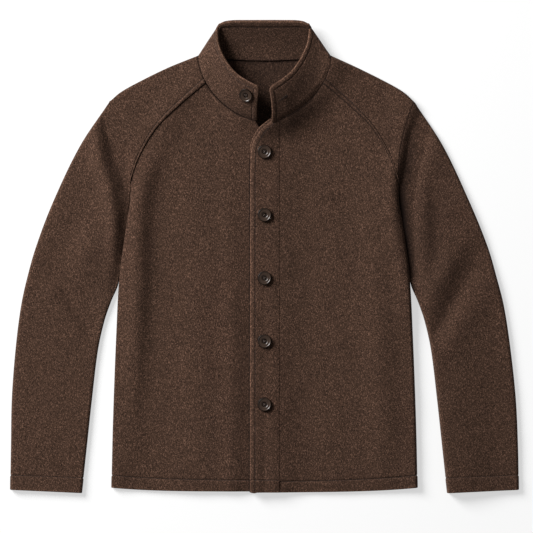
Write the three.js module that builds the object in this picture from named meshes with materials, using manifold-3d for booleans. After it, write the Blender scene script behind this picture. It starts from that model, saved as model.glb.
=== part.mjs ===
// A boiled-wool cardigan jacket with a stand collar, laid flat on its back and closed left over right.
// Millimetres, +Z up. The underside lies on z = 0, +Y points to the collar, and the origin is the
// middle of the garment's rectangle on the surface. The wearer's right is at -X.
import * as THREE from 'three';
import { mergeVertices } from 'three/addons/utils/BufferGeometryUtils.js';
import Module from 'manifold-3d';

const { lerp, smoothstep } = THREE.MathUtils;

// ---------------------------------------------------------------- driving sizes

const WALL = 2.4; // one thickness of boiled wool
const BAND_WALL = 3.4; // the button band is cut double and pressed
const SEAM = 0.3; // between pieces at a seam
const LAYER_GAP = 0.8; // between the back and the front lying on it
const LOW_TOP = 2 * WALL + LAYER_GAP; // outside of the front where it lies flat on the back
const OVERLAP = WALL + 0.4; // how much the left front is lifted by the right front's edge
const FOLD_RADIUS = 5; // plan width of the rounded edge where the cloth turns over
const HEM_DEPTH = 20; // turned hem, stitched along its top
const HEM_RISE = 0.8; // how much the turned hem stands over the panel

const PANEL_LENGTH = 690; // hem to neck point, which the rows of a panel share out
const HEM_Y = -376; // hem at the centre front
const HEM_HALF = 245; // half of the hem's width
const HEM_LIFT = 6; // the hem is this much higher at the side seams
const RIGHT_HEM_LIFT = 1.6; // the right front hangs this much shorter than the left
const LIFT_WIDTH = 55; // the left front comes down from the right front's edge over this width

const NECK_HALF = 106.5; // neck point from the centre
const NECK_TOP_Y = 320.8; // neck point along the garment
const NECK_DEPTH = 105; // front neckline below the neck point
const NECK_ROUND = 1.78; // exponent of the front neckline: 2 is an ellipse, less is more pointed
const BACK_NECK_DROP = 7.7; // back neckline below the neck point at the centre
const BACK_RAGLAN_X = 75; // back raglan seam meets the back neckline here

const BAND_HALF = 23.5; // button band, centre to edge and centre to seam
const COLLAR_END_X = 12; // collar ends from the centre, at the neckline
const COLLAR_SIDE_Z = 6.5; // height of the collar's roll at the neck point
const COLLAR_TOP_SIDE_Z = 8; // and at the top corner
const COLLAR_ROLL = 8; // plan radius of that roll
const COLLAR_BELLY = 2.5; // outward curve of the collar's front between seam and rim
const COLLAR_SEAM_LENGTH = 150; // neck point to front end along the seam
const COLLAR_RIM_LENGTH = 122; // and along the rim
const BACK_RIM_Y = 378.4; // top edge of the collar at the centre back

const ARMHOLE_BOW = 7.5; // the armhole seam curves this much towards the body
const ARMHOLE_GAP = 0.5; // between sleeve and shoulder piece, 0.3 mm once both are faceted
const SLEEVE_CLEAR = 1.2; // between the sleeve's inner fold and the body's side fold

const BUTTON_DIAMETER = 22;
const BUTTON_THICK = 3.8;
const BUTTON_TOP_Y = 167.6; // uppermost band button
const BUTTON_PITCH = 101;
const BUTTON_COUNT = 5;

// Side fold of the body, hem to armpit: half width x at y.
const SIDE_FOLD = [
  { x: 245, y: -370 },
  { x: 242.5, y: -262 },
  { x: 237, y: -118 },
  { x: 232, y: -30 },
  { x: 221.5, y: 50 },
  { x: 215.2, y: 88 },
  { x: 214.4, y: 119 },
];

// Raglan seam, armpit to neckline.
const RAGLAN = [
  { x: 214.4, y: 119 },
  { x: 201.5, y: 157 },
  { x: 174.5, y: 203 },
  { x: 140, y: 238 },
  { x: 93.8, y: 277.3 },
];

// Shoulder fold, neck point to shoulder tip. spread is how much further out the right one lies.
const SHOULDER = [
  { x: 106.8, y: 320.5, spread: 0 },
  { x: 152, y: 301.5, spread: 3 },
  { x: 200, y: 278, spread: 3.4 },
  { x: 227, y: 262.5, spread: 3.8 },
  { x: 243.8, y: 247.5, spread: 4.3 },
];

// Sleeve sections, armhole to cuff: each is a flattened tube from its inner fold to its outer fold.
const SLEEVE = [
  { innerX: 214.8, innerY: 119, outerX: 244.1, outerY: 247.2, spread: 4.3 },
  { innerX: 217.6, innerY: 69.6, outerX: 290.4, outerY: 176.8, spread: 4.8 },
  { innerX: 227.2, innerY: 8.8, outerX: 333.3, outerY: 87.2, spread: 5.1 },
  { innerX: 233.4, innerY: -42.4, outerX: 361.6, outerY: 15.2, spread: 4.2 },
  { innerX: 245.1, innerY: -71.2, outerX: 376.3, outerY: -36, spread: 4 },
  { innerX: 255.7, innerY: -101.6, outerX: 386.4, outerY: -79.2, spread: 3.2 },
  { innerX: 266.4, innerY: -149.6, outerX: 395.5, outerY: -143.2, spread: 2.4 },
  { innerX: 276, innerY: -228, outerX: 403.2, outerY: -226.4, spread: 1.1 },
  { innerX: 284.8, innerY: -309.6, outerX: 405.8, outerY: -306.4, spread: 0 },
  { innerX: 292.3, innerY: -378.6, outerX: 406.9, outerY: -373.4, spread: 0 },
];

// Front edge of the button band, neckline to hem. x is towards the wearer's left.
const BAND_EDGE = [
  { x: 12, y: 217 },
  { x: 2.4, y: 209.6 },
  { x: -7.2, y: 201 },
  { x: -18.4, y: 182 },
  { x: -22.2, y: 160 },
  { x: -23, y: 92 },
  { x: -BAND_HALF, y: -376 },
];

// Rim of the collar's front, top corner to front end. z is the outside of the cloth.
const COLLAR_RIM = [
  { x: 72.5, y: 371, z: 17 },
  { x: 67, y: 354, z: 21 },
  { x: 59.7, y: 329.6, z: 25 },
  { x: 52.3, y: 311.2, z: 28 },
  { x: 42.9, y: 295.2, z: 31.5 },
  { x: 28, y: 281.6, z: 35 },
  { x: 8.5, y: 269.6, z: 38 },
];

// Soft rolls of the front layer, the same on both sides: a path, its rise at both ends, its width.
const ROLLS = [
  { name: 'side, upper', path: [[215, 135], [221, 50], [233, -60]], rise: [5, 3.2], width: 34 },
  { name: 'side, lower', path: [[235, -90], [245, -372]], rise: [2.4, 2.4], width: 26 },
  { name: 'shoulder', path: [[104, 322], [160, 297], [236, 255]], rise: [7.2, 2.6], width: 26 },
  { name: 'neckline', path: [[104, 300], [80, 262], [40, 228], [0, 216]], rise: [3, 3], width: 20 },
  { name: 'sleeve crown', path: [[262, 165], [300, 70], [330, -70], [348, -376]], rise: [2, 3], width: 62 },
  { name: 'sleeve outer', path: [[330, 88], [392, -110], [404, -376]], rise: [1.6, 2], width: 26 },
  { name: 'sleeve inner', path: [[262, -120], [280, -250], [292, -376]], rise: [1.6, 2], width: 26 },
];

// Largest folds of the sleeves, which differ from side to side. side 1 is the wearer's left.
const FOLDS = [
  { side: -1, path: [[255, 226], [254, 190], [242, 120], [226, 52]], rise: [-1.2, -1.4], width: 15 },
  { side: 1, path: [[240, 215], [240, 176], [222, 120], [226, 52]], rise: [-1.6, -2.2], width: 15 },
  { side: 1, path: [[330, 0], [300, -70], [277, -122]], rise: [-1.2, -2], width: 17 },
  { side: 1, path: [[300, 0], [262, -84]], rise: [1, 1.6], width: 16 },
  { side: -1, path: [[318, 6], [272, -112]], rise: [-0.8, -1.4], width: 20 },
];

// ---------------------------------------------------------------- curves and heights

/** Smooth curve through the rows of a table: returns row(t) for t from 0 to 1 by chord length. */
function through(rows, columns) {
  const knots = [0];
  for (let i = 1; i < rows.length; i += 1) {
    knots.push(knots[i - 1] + Math.hypot(...columns.map((c) => rows[i][c] - rows[i - 1][c])));
  }
  const slope = (i, c) => {
    const a = Math.max(i - 1, 0);
    const b = Math.min(i + 1, rows.length - 1);
    return (rows[b][c] - rows[a][c]) / (knots[b] - knots[a]);
  };
  return (t) => {
    const at = THREE.MathUtils.clamp(t, 0, 1) * knots[knots.length - 1];
    let i = 0;
    while (i < rows.length - 2 && at > knots[i + 1]) i += 1;
    const span = knots[i + 1] - knots[i];
    const s = (at - knots[i]) / span;
    const row = {};
    for (const c of columns) {
      const start = rows[i][c] * (1 + 2 * s) * (1 - s) ** 2 + slope(i, c) * span * s * (1 - s) ** 2;
      const end = rows[i + 1][c] * s * s * (3 - 2 * s) + slope(i + 1, c) * span * s * s * (s - 1);
      row[c] = start + end;
    }
    return row;
  };
}

const sideFold = through(SIDE_FOLD, ['x', 'y']);
const raglan = through(RAGLAN, ['x', 'y']);
const shoulderFold = through(SHOULDER, ['x', 'y', 'spread']);
const bandEdge = through(BAND_EDGE, ['x', 'y']);
const collarRim = through(COLLAR_RIM, ['x', 'y', 'z']);

/** Height of one soft roll over a point: its rise, dying away as a bell with the distance. */
function rollHeight({ path, rise, width }, x, y) {
  let nearest = Infinity;
  let share = 0;
  for (let i = 1; i < path.length; i += 1) {
    const [ax, ay] = path[i - 1];
    const [bx, by] = path[i];
    const along = ((x - ax) * (bx - ax) + (y - ay) * (by - ay)) / ((bx - ax) ** 2 + (by - ay) ** 2);
    const s = THREE.MathUtils.clamp(along, 0, 1);
    const distance = Math.hypot(x - lerp(ax, bx, s), y - lerp(ay, by, s));
    if (distance < nearest) {
      nearest = distance;
      share = (i - 1 + s) / (path.length - 1);
    }
  }
  return lerp(rise[0], rise[1], share) * Math.exp(-((nearest / width) ** 2));
}

/** Outside height of the front layer over a point, on the wearer's side given by the sign. */
function frontTop(x, y, side, lifted = false) {
  let top = LOW_TOP;
  for (const roll of ROLLS) top += rollHeight(roll, x, y);
  for (const fold of FOLDS) if (fold.side === side) top += rollHeight(fold, x, y);
  if (lifted) top += OVERLAP * (1 - smoothstep(x, BAND_HALF, BAND_HALF + LIFT_WIDTH));
  return Math.max(top, LOW_TOP);
}

/** Front neckline from the centre (0) to the neck point (1), a rounded ellipse. */
function frontNeck(t) {
  const angle = (t * Math.PI) / 2;
  return {
    x: NECK_HALF * Math.sin(angle) ** (2 / NECK_ROUND),
    y: NECK_TOP_Y - NECK_DEPTH * Math.cos(angle) ** (2 / NECK_ROUND),
  };
}

/** Share of the front neckline at which it reaches a given x. */
function neckShare(x) {
  return (Math.asin((x / NECK_HALF) ** (NECK_ROUND / 2)) * 2) / Math.PI;
}

/** Back neckline, a shallow curve from the centre (x = 0) to the neck point. */
function backNeck(x) {
  return { x, y: NECK_TOP_Y - BACK_NECK_DROP * (1 - (x / NECK_HALF) ** 2) };
}

function hemLine(x) {
  return { x, y: HEM_Y + HEM_LIFT * (x / HEM_HALF) ** 4 };
}

const mixPoints = (a, b, t) => ({ x: lerp(a.x, b.x, t), y: lerp(a.y, b.y, t) });

/** Point inside four edges: the mean of the two rulings less their corners (a Coons patch). */
function insideEdges(u, v, { bottom, top, start, end }) {
  const rule = mixPoints(bottom(u), top(u), v);
  const cross = mixPoints(start(v), end(v), u);
  const corner = mixPoints(mixPoints(bottom(0), bottom(1), u), mixPoints(top(0), top(1), u), v);
  return { x: rule.x + cross.x - corner.x, y: rule.y + cross.y - corner.y };
}

// ---------------------------------------------------------------- walls of cloth

/**
 * Closed wall between two skins. skin(row, column, depth) gives a point, depth 0 outside and 1 inside.
 * With ring set, the last column joins the first.
 */
function wall(rows, columns, skin, ring = false) {
  const wide = columns.length;
  const points = [];
  for (const depth of [0, 1]) {
    for (const row of rows) for (const column of columns) points.push(...skin(row, column, depth));
  }
  const sheet = rows.length * wide;
  const at = (i, j, depth) => depth * sheet + i * wide + (j % wide);
  const index = [];
  const quad = (a, b, c, d) => index.push(a, b, c, a, c, d);
  const spans = ring ? wide : wide - 1;
  for (let i = 0; i < rows.length - 1; i += 1) {
    for (let j = 0; j < spans; j += 1) {
      quad(at(i, j, 0), at(i, j + 1, 0), at(i + 1, j + 1, 0), at(i + 1, j, 0));
      quad(at(i, j, 1), at(i + 1, j, 1), at(i + 1, j + 1, 1), at(i, j + 1, 1));
    }
  }
  const last = rows.length - 1;
  for (let j = 0; j < spans; j += 1) {
    quad(at(0, j, 0), at(0, j, 1), at(0, j + 1, 1), at(0, j + 1, 0));
    quad(at(last, j, 0), at(last, j + 1, 0), at(last, j + 1, 1), at(last, j, 1));
  }
  if (!ring) {
    for (let i = 0; i < last; i += 1) {
      quad(at(i, 0, 0), at(i + 1, 0, 0), at(i + 1, 0, 1), at(i, 0, 1));
      quad(at(i, wide - 1, 0), at(i, wide - 1, 1), at(i + 1, wide - 1, 1), at(i + 1, wide - 1, 0));
    }
  }
  return outward(points, index);
}

/** Geometry from points and triangles, with the triangles turned to face out. */
function outward(points, index) {
  let volume = 0;
  const corner = (i) => new THREE.Vector3().fromArray(points, 3 * index[i]);
  for (let i = 0; i < index.length; i += 3) {
    volume += corner(i).dot(corner(i + 1).cross(corner(i + 2)));
  }
  if (volume < 0) {
    for (let i = 0; i < index.length; i += 3) [index[i], index[i + 1]] = [index[i + 1], index[i]];
  }
  const geometry = new THREE.BufferGeometry();
  geometry.setAttribute('position', new THREE.Float32BufferAttribute(points, 3));
  geometry.setIndex(index);
  return geometry;
}

const steps = (from, to, count) => Array.from({ length: count + 1 }, (_, i) => lerp(from, to, i / count));

/** Columns that run round a fold (turn from 0 at its edge to 1) and then over the flat (run 0 to 1). */
function foldColumns(turns, flats) {
  const round = steps(0, 1, turns).map((turn) => ({ turn, run: 0 }));
  const flat = steps(0, 1, flats).slice(1).map((run) => ({ turn: 1, run }));
  return [...round, ...flat];
}

/** Distance in from the fold for a column, the inner skin starting one wall further in. */
function foldDistance({ turn, run }, width, inset) {
  const round = inset + (FOLD_RADIUS - inset) * (1 - Math.cos((turn * Math.PI) / 2));
  return round + run * (width - FOLD_RADIUS);
}

// ---------------------------------------------------------------- body

const ARMPIT = 0.71; // share of the panel's length at the armpit
const BELOW_ARMPIT = 0.012; // the side fold opens out into the raglan seam between these
const ABOVE_ARMPIT = 0.03;
const RAGLAN_ROWS = 8;
const FRONT_FLATS = 8;

/** Outer edge of a body panel: the side fold up to the armpit, then the raglan seam. */
const panelEdge = (seam) => (v) => (v < ARMPIT ? sideFold(v / ARMPIT) : seam((v - ARMPIT) / (1 - ARMPIT)));

/** Back raglan seam: as the front one, but ending higher, on the back neckline. */
function backRaglan(t) {
  const front = raglan(t);
  const end = backNeck(BACK_RAGLAN_X);
  const from = raglan(1);
  return { x: front.x + (end.x - from.x) * t * t, y: front.y + (end.y - from.y) * t * t };
}

/** Rows of a body panel, hem to neckline: both edges of the hem's stitching have their own. */
function panelRows() {
  const hem = [0, (HEM_DEPTH - 1) / PANEL_LENGTH, (HEM_DEPTH + 1.5) / PANEL_LENGTH];
  const side = steps(0.08, ARMPIT - ABOVE_ARMPIT, 8);
  return [...hem, ...side, ARMPIT - BELOW_ARMPIT, ...steps(ARMPIT, 1, RAGLAN_ROWS)];
}

/** How far the panel's edge turns down into the side fold: 1 along the side, 0 on the raglan seam. */
const sideTurn = (v) => 1 - smoothstep(v, ARMPIT - BELOW_ARMPIT, ARMPIT + ABOVE_ARMPIT);

/** The turned hem's rise over the panel: full below its stitching and gone just above it. */
const hemRise = (v) => HEM_RISE * (1 - smoothstep(v * PANEL_LENGTH, HEM_DEPTH - 0.9, HEM_DEPTH + 1.4));

/** Front panel from its side fold to its centre edge, on the wearer's side given by the sign. */
function frontPanel(side, centre, lifted, hemShift) {
  const top = (u) => frontNeck(lerp(neckShare(centre(1).x), neckShare(raglan(1).x), u));
  const bottom = (u) => {
    const point = hemLine(lerp(centre(0).x, HEM_HALF, u));
    return { x: point.x, y: point.y + hemShift * (1 - u) };
  };
  const edges = { bottom, top, start: centre, end: panelEdge(raglan) };
  return wall(panelRows(), foldColumns(4, FRONT_FLATS), (v, column, depth) => {
    const edge = edges.end(v);
    const width = Math.hypot(edge.x - centre(v).x, edge.y - centre(v).y);
    const turned = sideTurn(v);
    const distance = foldDistance(column, width, WALL * depth * turned);
    const point = insideEdges(1 - distance / width, v, edges);
    const outside = frontTop(point.x, point.y, side, lifted) + hemRise(v);
    const middle = frontTop(edge.x, edge.y, side) / 2 + SEAM / 2;
    const flat = outside - depth * (WALL + hemRise(v));
    const z = lerp(lerp(flat, middle, turned), flat, Math.sin((column.turn * Math.PI) / 2));
    return [side * point.x, point.y, z];
  });
}

/** Centre edge of the left front: straight up the band seam to the neckline. */
function bandSeam(v) {
  const x = BAND_HALF + SEAM;
  return { x, y: lerp(hemLine(x).y, frontNeck(neckShare(x)).y, v) };
}

/** Free edge of the right front, hidden under the band: the same cut as the band's own edge. */
const hiddenEdge = (v) => bandEdge(1 - v);

/** Back panel: flat on the surface, turned up into the side folds at both sides. */
function backPanel() {
  const top = (u) => backNeck(lerp(-BACK_RAGLAN_X, BACK_RAGLAN_X, u));
  const bottom = (u) => hemLine(lerp(-HEM_HALF, HEM_HALF, u));
  const right = panelEdge(backRaglan);
  const left = (v) => ({ x: -right(v).x, y: right(v).y });
  const edges = { bottom, top, start: left, end: right };
  const half = foldColumns(4, 6);
  const columns = [
    ...half.map((column) => ({ ...column, side: -1 })),
    ...half.slice(0, -1).reverse().map((column) => ({ ...column, side: 1 })),
  ];
  return wall(panelRows(), columns, (v, column, depth) => {
    const edge = right(v);
    const turned = sideTurn(v);
    const distance = foldDistance(column, edge.x, WALL * depth * turned);
    const share = (column.side * (edge.x - distance)) / (2 * edge.x) + 0.5;
    const point = insideEdges(share, v, edges);
    const middle = frontTop(edge.x, edge.y, column.side) / 2 - SEAM / 2;
    const flat = depth * WALL;
    const z = lerp(lerp(flat, middle, turned), flat, Math.sin((column.turn * Math.PI) / 2));
    return [point.x, point.y, z];
  });
}

/** Button band: over the right front's edge, from the band seam to its own free edge. */
function buttonBand() {
  const hemEnd = 0.004; // its underside clears the hem below it a little further up
  const hemRows = panelRows().slice(1, 3).map((v) => v + hemEnd);
  const rows = [0, ...hemRows, ...steps(0.07, 0.78, 9), ...steps(0.8, 1, 8)];
  return wall(rows, steps(0, 1, 3), (v, u, depth) => {
    const free = bandEdge(1 - v);
    const sewn = { x: BAND_HALF, y: lerp(HEM_Y - RIGHT_HEM_LIFT, frontNeck(neckShare(BAND_HALF)).y, v) };
    const point = mixPoints(sewn, { x: free.x, y: lerp(free.y - RIGHT_HEM_LIFT, free.y, v) }, u);
    const hem = hemRise(v - hemEnd);
    return [point.x, point.y, bandTop(point.x, point.y) + 2 * hem - depth * (BAND_WALL + hem)];
  });
}

/** Outside height of the button band. */
function bandTop(x, y) {
  return frontTop(Math.abs(x), y, 1) + OVERLAP + BAND_WALL - WALL;
}

// ---------------------------------------------------------------- shoulders and sleeves

/** Shoulder fold on one side, with the side's own lie. */
function shoulderEdge(side, s) {
  const { x, y, spread } = shoulderFold(s);
  return { x: x - side * spread, y };
}

/** Armhole seam on one side, shoulder tip (0) to armpit (1), bowed towards the body. */
function armhole(side, t) {
  const tip = shoulderEdge(side, 1);
  const pit = raglan(0);
  return { x: lerp(tip.x, pit.x, t) - ARMHOLE_BOW * 4 * t * (1 - t), y: lerp(tip.y, pit.y, t) };
}

const CORNER = 0.035; // the shoulder piece's point is blunted this far short of the armpit
const SEAM_RISE = 1.5; // allowances pressed under the shoulder's edge, at its topstitched seam
const SEAM_RISE_WIDTH = 9;

/** Shoulder piece: from the back raglan seam over the shoulder fold to the front raglan seam. */
function shoulderPiece(side) {
  const neckEdge = ({ x, y }, t) => ({ x: x + SEAM * (1 + 0.4 * t), y: y - SEAM * (1 - t) });
  const seamPoint = (seam) => (s) => neckEdge(seam(lerp(1, CORNER, s)), 1);
  const front = {
    bottom: (s) => shoulderEdge(side, s),
    top: seamPoint(raglan),
    start: (t) => neckEdge(frontNeck(lerp(1, neckShare(RAGLAN.at(-1).x), t)), t),
    end: (t) => armhole(side, t * (1 - CORNER)),
  };
  const back = {
    ...front,
    top: seamPoint(backRaglan),
    start: (t) => neckEdge(backNeck(lerp(NECK_HALF, BACK_RAGLAN_X, t)), t),
  };
  const half = foldColumns(4, 5);
  const columns = [
    ...half.slice(1).reverse().map((column) => ({ ...column, layer: back })),
    ...half.map((column) => ({ ...column, layer: front })),
  ];
  const rows = [...steps(0, 1, RAGLAN_ROWS).slice(0, -1).map((r) => r / (1 - CORNER)), 1];
  return wall(rows, columns, (s, column, depth) => {
    const { layer } = column;
    const edge = shoulderEdge(side, s);
    const seam = layer.top(s);
    const width = Math.hypot(edge.x - seam.x, edge.y - seam.y);
    const distance = foldDistance(column, width, WALL * depth);
    const point = insideEdges(s, Math.min(distance / width, 1), layer);
    const middle = frontTop(edge.x, edge.y, side) / 2;
    const rise = SEAM_RISE * (1 - smoothstep(width - distance, 0, SEAM_RISE_WIDTH));
    const outside = layer === front ? frontTop(point.x, point.y, side) + rise : 0;
    const flat = layer === front ? outside - depth * WALL : depth * WALL;
    const z = lerp(middle, flat, Math.sin((column.turn * Math.PI) / 2));
    return [side * point.x, point.y, z];
  });
}

/** Where the sleeve has to stay out to, beside the body's side fold at a height y. */
function besideBody(y) {
  if (y >= SIDE_FOLD.at(-1).y) return 0;
  let low = 0;
  let high = 1;
  for (let i = 0; i < 30; i += 1) {
    const middle = (low + high) / 2;
    if (sideFold(middle).y < y) low = middle;
    else high = middle;
  }
  return sideFold(low).x + SLEEVE_CLEAR;
}

const sleeveFolds = through(SLEEVE, ['innerX', 'innerY', 'outerX', 'outerY', 'spread']);

/** Inner and outer fold of the sleeve at a share of its length. */
function sleeveSection(side, share) {
  const { innerX, innerY, outerX, outerY, spread } = sleeveFolds(share);
  return {
    inner: { x: Math.max(innerX, besideBody(innerY)), y: innerY },
    outer: { x: outerX - side * spread, y: outerY },
  };
}

const CUFF = 0.957; // share of the sleeve's length at the top of its turned hem
const CUFF_STEP = 0.005; // the hem's rise is gone over this share
const CROWN = 0.12; // the armhole's bow dies away over this share

/** Sleeve: flattened tubes from the armhole seam to the cuff, folded along both edges. */
function sleeve(side) {
  const quarter = steps(0, 1, 3);
  const over = steps(0, 1, 6).slice(1, -1);
  const under = steps(0, 1, 3).slice(1, -1);
  const columns = [
    ...quarter.map((turn) => ({ from: 'inner', turn, layer: 1 })),
    ...over.map((run) => ({ from: 'inner', turn: 1, run, layer: 1 })),
    ...quarter.slice().reverse().map((turn) => ({ from: 'outer', turn, layer: 1 })),
    ...quarter.slice(1).map((turn) => ({ from: 'outer', turn, layer: 0 })),
    ...under.map((run) => ({ from: 'outer', turn: 1, run, layer: 0 })),
    ...quarter.slice(1).reverse().map((turn) => ({ from: 'inner', turn, layer: 0 })),
  ];
  const rows = [...steps(0, CUFF, 18), CUFF + CUFF_STEP, 1];
  const build = (share, column, depth) => {
    const { inner, outer } = sleeveSection(side, share);
    const edge = column.from === 'inner' ? inner : outer;
    const far = column.from === 'inner' ? outer : inner;
    const width = Math.hypot(outer.x - inner.x, outer.y - inner.y);
    const round = WALL * depth + (FOLD_RADIUS - WALL * depth) * (1 - Math.cos((column.turn * Math.PI) / 2));
    const distance = round + (column.run ?? 0) * (width - 2 * FOLD_RADIUS);
    const point = mixPoints(edge, far, distance / width);
    const across = distance / width;
    const bow = ARMHOLE_BOW * 4 * across * (1 - across) * (1 - smoothstep(share, 0, CROWN));
    const apart = ARMHOLE_GAP * (1 - smoothstep(share, 0, CROWN));
    point.x = Math.max(point.x - bow + apart, besideBody(point.y) + WALL * depth);
    const middle = frontTop(edge.x, edge.y, side) / 2;
    const hem = HEM_RISE * smoothstep(share, CUFF, CUFF + CUFF_STEP);
    const outside = column.layer === 1 ? frontTop(point.x, point.y, side) + hem : 0;
    const flat = column.layer === 1 ? outside - depth * (WALL + hem) : depth * WALL;
    return [side * point.x, point.y, lerp(middle, flat, Math.sin((column.turn * Math.PI) / 2))];
  };
  return wall(rows, columns, build, true);
}

// ---------------------------------------------------------------- collar

const NECK_SHARE = 0.42; // how far round the collar the neck points are, centre back to front end
const COLLAR_START = 0.012; // the collar starts this share of its height above the neckline
const FACING_END = 0.985; // and its facing ends just short of the rim

/**
 * Outside of the collar. around runs from the wearer's right end (-1) over the centre back (0) to the
 * left end (1); the neck points are at -NECK_SHARE and NECK_SHARE. up runs from the neckline to the rim.
 */
function collarOutside(around, up) {
  const side = Math.sign(around) || 1;
  const share = Math.abs(around);
  const sideZ = lerp(COLLAR_SIDE_Z, COLLAR_TOP_SIDE_Z, up);
  if (share <= NECK_SHARE) {
    const t = share / NECK_SHARE;
    const sewn = backNeck(NECK_HALF * t);
    const corner = COLLAR_RIM[0];
    const rim = { x: corner.x * t, y: lerp(BACK_RIM_Y, corner.y, t ** 6) };
    const point = mixPoints(sewn, rim, up);
    const width = lerp(NECK_HALF, corner.x, up);
    const turn = Math.min((width * (1 - t)) / COLLAR_ROLL, 1);
    return [side * point.x, point.y, sideZ * (1 - Math.sqrt(1 - (1 - turn) ** 2))];
  }
  const t = (share - NECK_SHARE) / (1 - NECK_SHARE);
  const sewn = frontNeck(lerp(1, neckShare(COLLAR_END_X), t));
  const rim = collarRim(t);
  const point = mixPoints(sewn, rim, up);
  const lifted = side === 1;
  const seamTop = frontTop(sewn.x, sewn.y, side, lifted);
  const belly = COLLAR_BELLY * 4 * up * (1 - up);
  const rimTop = rim.z + (lifted ? OVERLAP * t : 0);
  const top = lerp(seamTop, rimTop, up) + belly;
  const length = lerp(COLLAR_SEAM_LENGTH, COLLAR_RIM_LENGTH, up);
  const turn = Math.min((length * t) / COLLAR_ROLL, 1);
  return [side * point.x, point.y, lerp(sideZ, top, Math.sqrt(1 - (1 - turn) ** 2))];
}

/** Outward normal of the collar's outside, from the slopes along it and up it. */
function collarNormal(around, up) {
  const step = 0.004;
  const slope = (a, b) => new THREE.Vector3(...b).sub(new THREE.Vector3(...a));
  const along = slope(collarOutside(around - step, up), collarOutside(around + step, up));
  const upward = slope(collarOutside(around, up - step), collarOutside(around, up + step));
  return along.cross(upward).normalize().negate();
}

/** One layer of the collar between two depths below its outside, from one height share to another. */
function collarLayer(outer, inner, low, high) {
  const roll = [0.012, 0.028, 0.05]; // columns either side of the neck point, round the roll
  const end = neckShare(COLLAR_END_X);
  const seam = neckShare(RAGLAN.at(-1).x);
  const front = steps(seam, end, FRONT_FLATS).map((p) => lerp(NECK_SHARE, 1, (1 - p) / (1 - end)));
  const half = [
    ...steps(0, NECK_SHARE - 0.1, 5),
    ...roll.map((r) => NECK_SHARE - r).reverse(),
    NECK_SHARE,
    ...roll.map((r) => NECK_SHARE + r),
    ...steps(NECK_SHARE + 0.09, front[0], 2).slice(0, -1),
    ...front,
  ];
  const columns = [...half.slice(1).reverse().map((a) => -a), ...half];
  return wall(steps(low, high, 5), columns, (up, around, depth) => {
    const normal = collarNormal(THREE.MathUtils.clamp(around, -0.99, 0.99), up);
    const point = new THREE.Vector3(...collarOutside(around, up));
    return point.addScaledVector(normal, -lerp(outer, inner, depth)).toArray();
  });
}

// ---------------------------------------------------------------- buttons

const wasm = await Module();
wasm.setup();

/** Manifold solid from a three.js geometry. */
function solid(geometry) {
  const bare = geometry.clone();
  bare.deleteAttribute('normal');
  bare.deleteAttribute('uv');
  const merged = mergeVertices(bare, 1e-4);
  return new wasm.Manifold(new wasm.Mesh({
    numProp: 3,
    vertProperties: new Float32Array(merged.attributes.position.array),
    triVerts: new Uint32Array(merged.index.array),
  }));
}

// Button profile in shares of radius and thickness, middle of the underside to middle of the dish.
const BUTTON_PROFILE = [
  { out: 0, up: 0 },
  { out: 0.72, up: 0 },
  { out: 0.96, up: 0.42 },
  { out: 1, up: 0.66 },
  { out: 0.97, up: 0.9 },
  { out: 0.9, up: 1 },
  { out: 0.84, up: 0.93 },
  { out: 0.72, up: 0.76 },
  { out: 0.52, up: 0.72 },
  { out: 0.36, up: 0.55 },
  { out: 0, up: 0.53 },
];
const BUTTON_HOLE_RADIUS = 0.95;
const BUTTON_HOLE_OUT = 2.1; // hole centres from the button's middle, along x and along y

/** Four-hole button with a raised rim and a dished middle, standing on z = 0. */
function buttonGeometry() {
  const profile = BUTTON_PROFILE.map(
    ({ out, up }) => new THREE.Vector2((out * BUTTON_DIAMETER) / 2, up * BUTTON_THICK),
  );
  const body = new THREE.LatheGeometry(profile, 20);
  body.rotateX(Math.PI / 2);
  let button = solid(body);
  const hole = new THREE.CylinderGeometry(BUTTON_HOLE_RADIUS, BUTTON_HOLE_RADIUS, 3 * BUTTON_THICK, 8);
  hole.rotateX(Math.PI / 2);
  for (const [x, y] of [[1, 1], [-1, 1], [-1, -1], [1, -1]]) {
    button = button.subtract(solid(hole.clone().translate(x * BUTTON_HOLE_OUT, y * BUTTON_HOLE_OUT, 0)));
  }
  const mesh = button.getMesh();
  const geometry = new THREE.BufferGeometry();
  geometry.setAttribute('position', new THREE.Float32BufferAttribute(mesh.vertProperties, 3));
  geometry.setIndex(Array.from(mesh.triVerts));
  return geometry;
}

// ---------------------------------------------------------------- the cardigan

const wool = () => new THREE.MeshStandardMaterial({ color: 0x4a382f, roughness: 0.95, metalness: 0 });
const horn = () => new THREE.MeshStandardMaterial({ color: 0x2c211b, roughness: 0.35, metalness: 0 });

const cardigan = new THREE.Group();
cardigan.name = 'cardigan';

function add(name, geometry, material) {
  geometry.computeVertexNormals();
  const mesh = new THREE.Mesh(geometry, material);
  mesh.name = name;
  cardigan.add(mesh);
  return mesh;
}

add('back', backPanel(), wool());
add('front_right', frontPanel(-1, hiddenEdge, false, RIGHT_HEM_LIFT), wool());
add('front_left', frontPanel(1, bandSeam, true, 0), wool());
add('button_band', buttonBand(), wool());
for (const [name, side] of [['right', -1], ['left', 1]]) {
  add(`shoulder_${name}`, shoulderPiece(side), wool());
  add(`sleeve_${name}`, sleeve(side), wool());
}
add('collar', collarLayer(0, WALL, COLLAR_START, 1), wool());
add('collar_facing', collarLayer(WALL + SEAM, 2 * WALL + SEAM, COLLAR_START, FACING_END), wool());

for (let i = 0; i < BUTTON_COUNT; i += 1) {
  const y = BUTTON_TOP_Y - i * BUTTON_PITCH;
  const button = add(`button_${i + 1}`, buttonGeometry(), horn());
  const highest = Math.max(...[-8, 0, 8].map((x) => bandTop(x, y))); // under the button's foot
  button.position.set(0, y, highest + SEAM);
}

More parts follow.
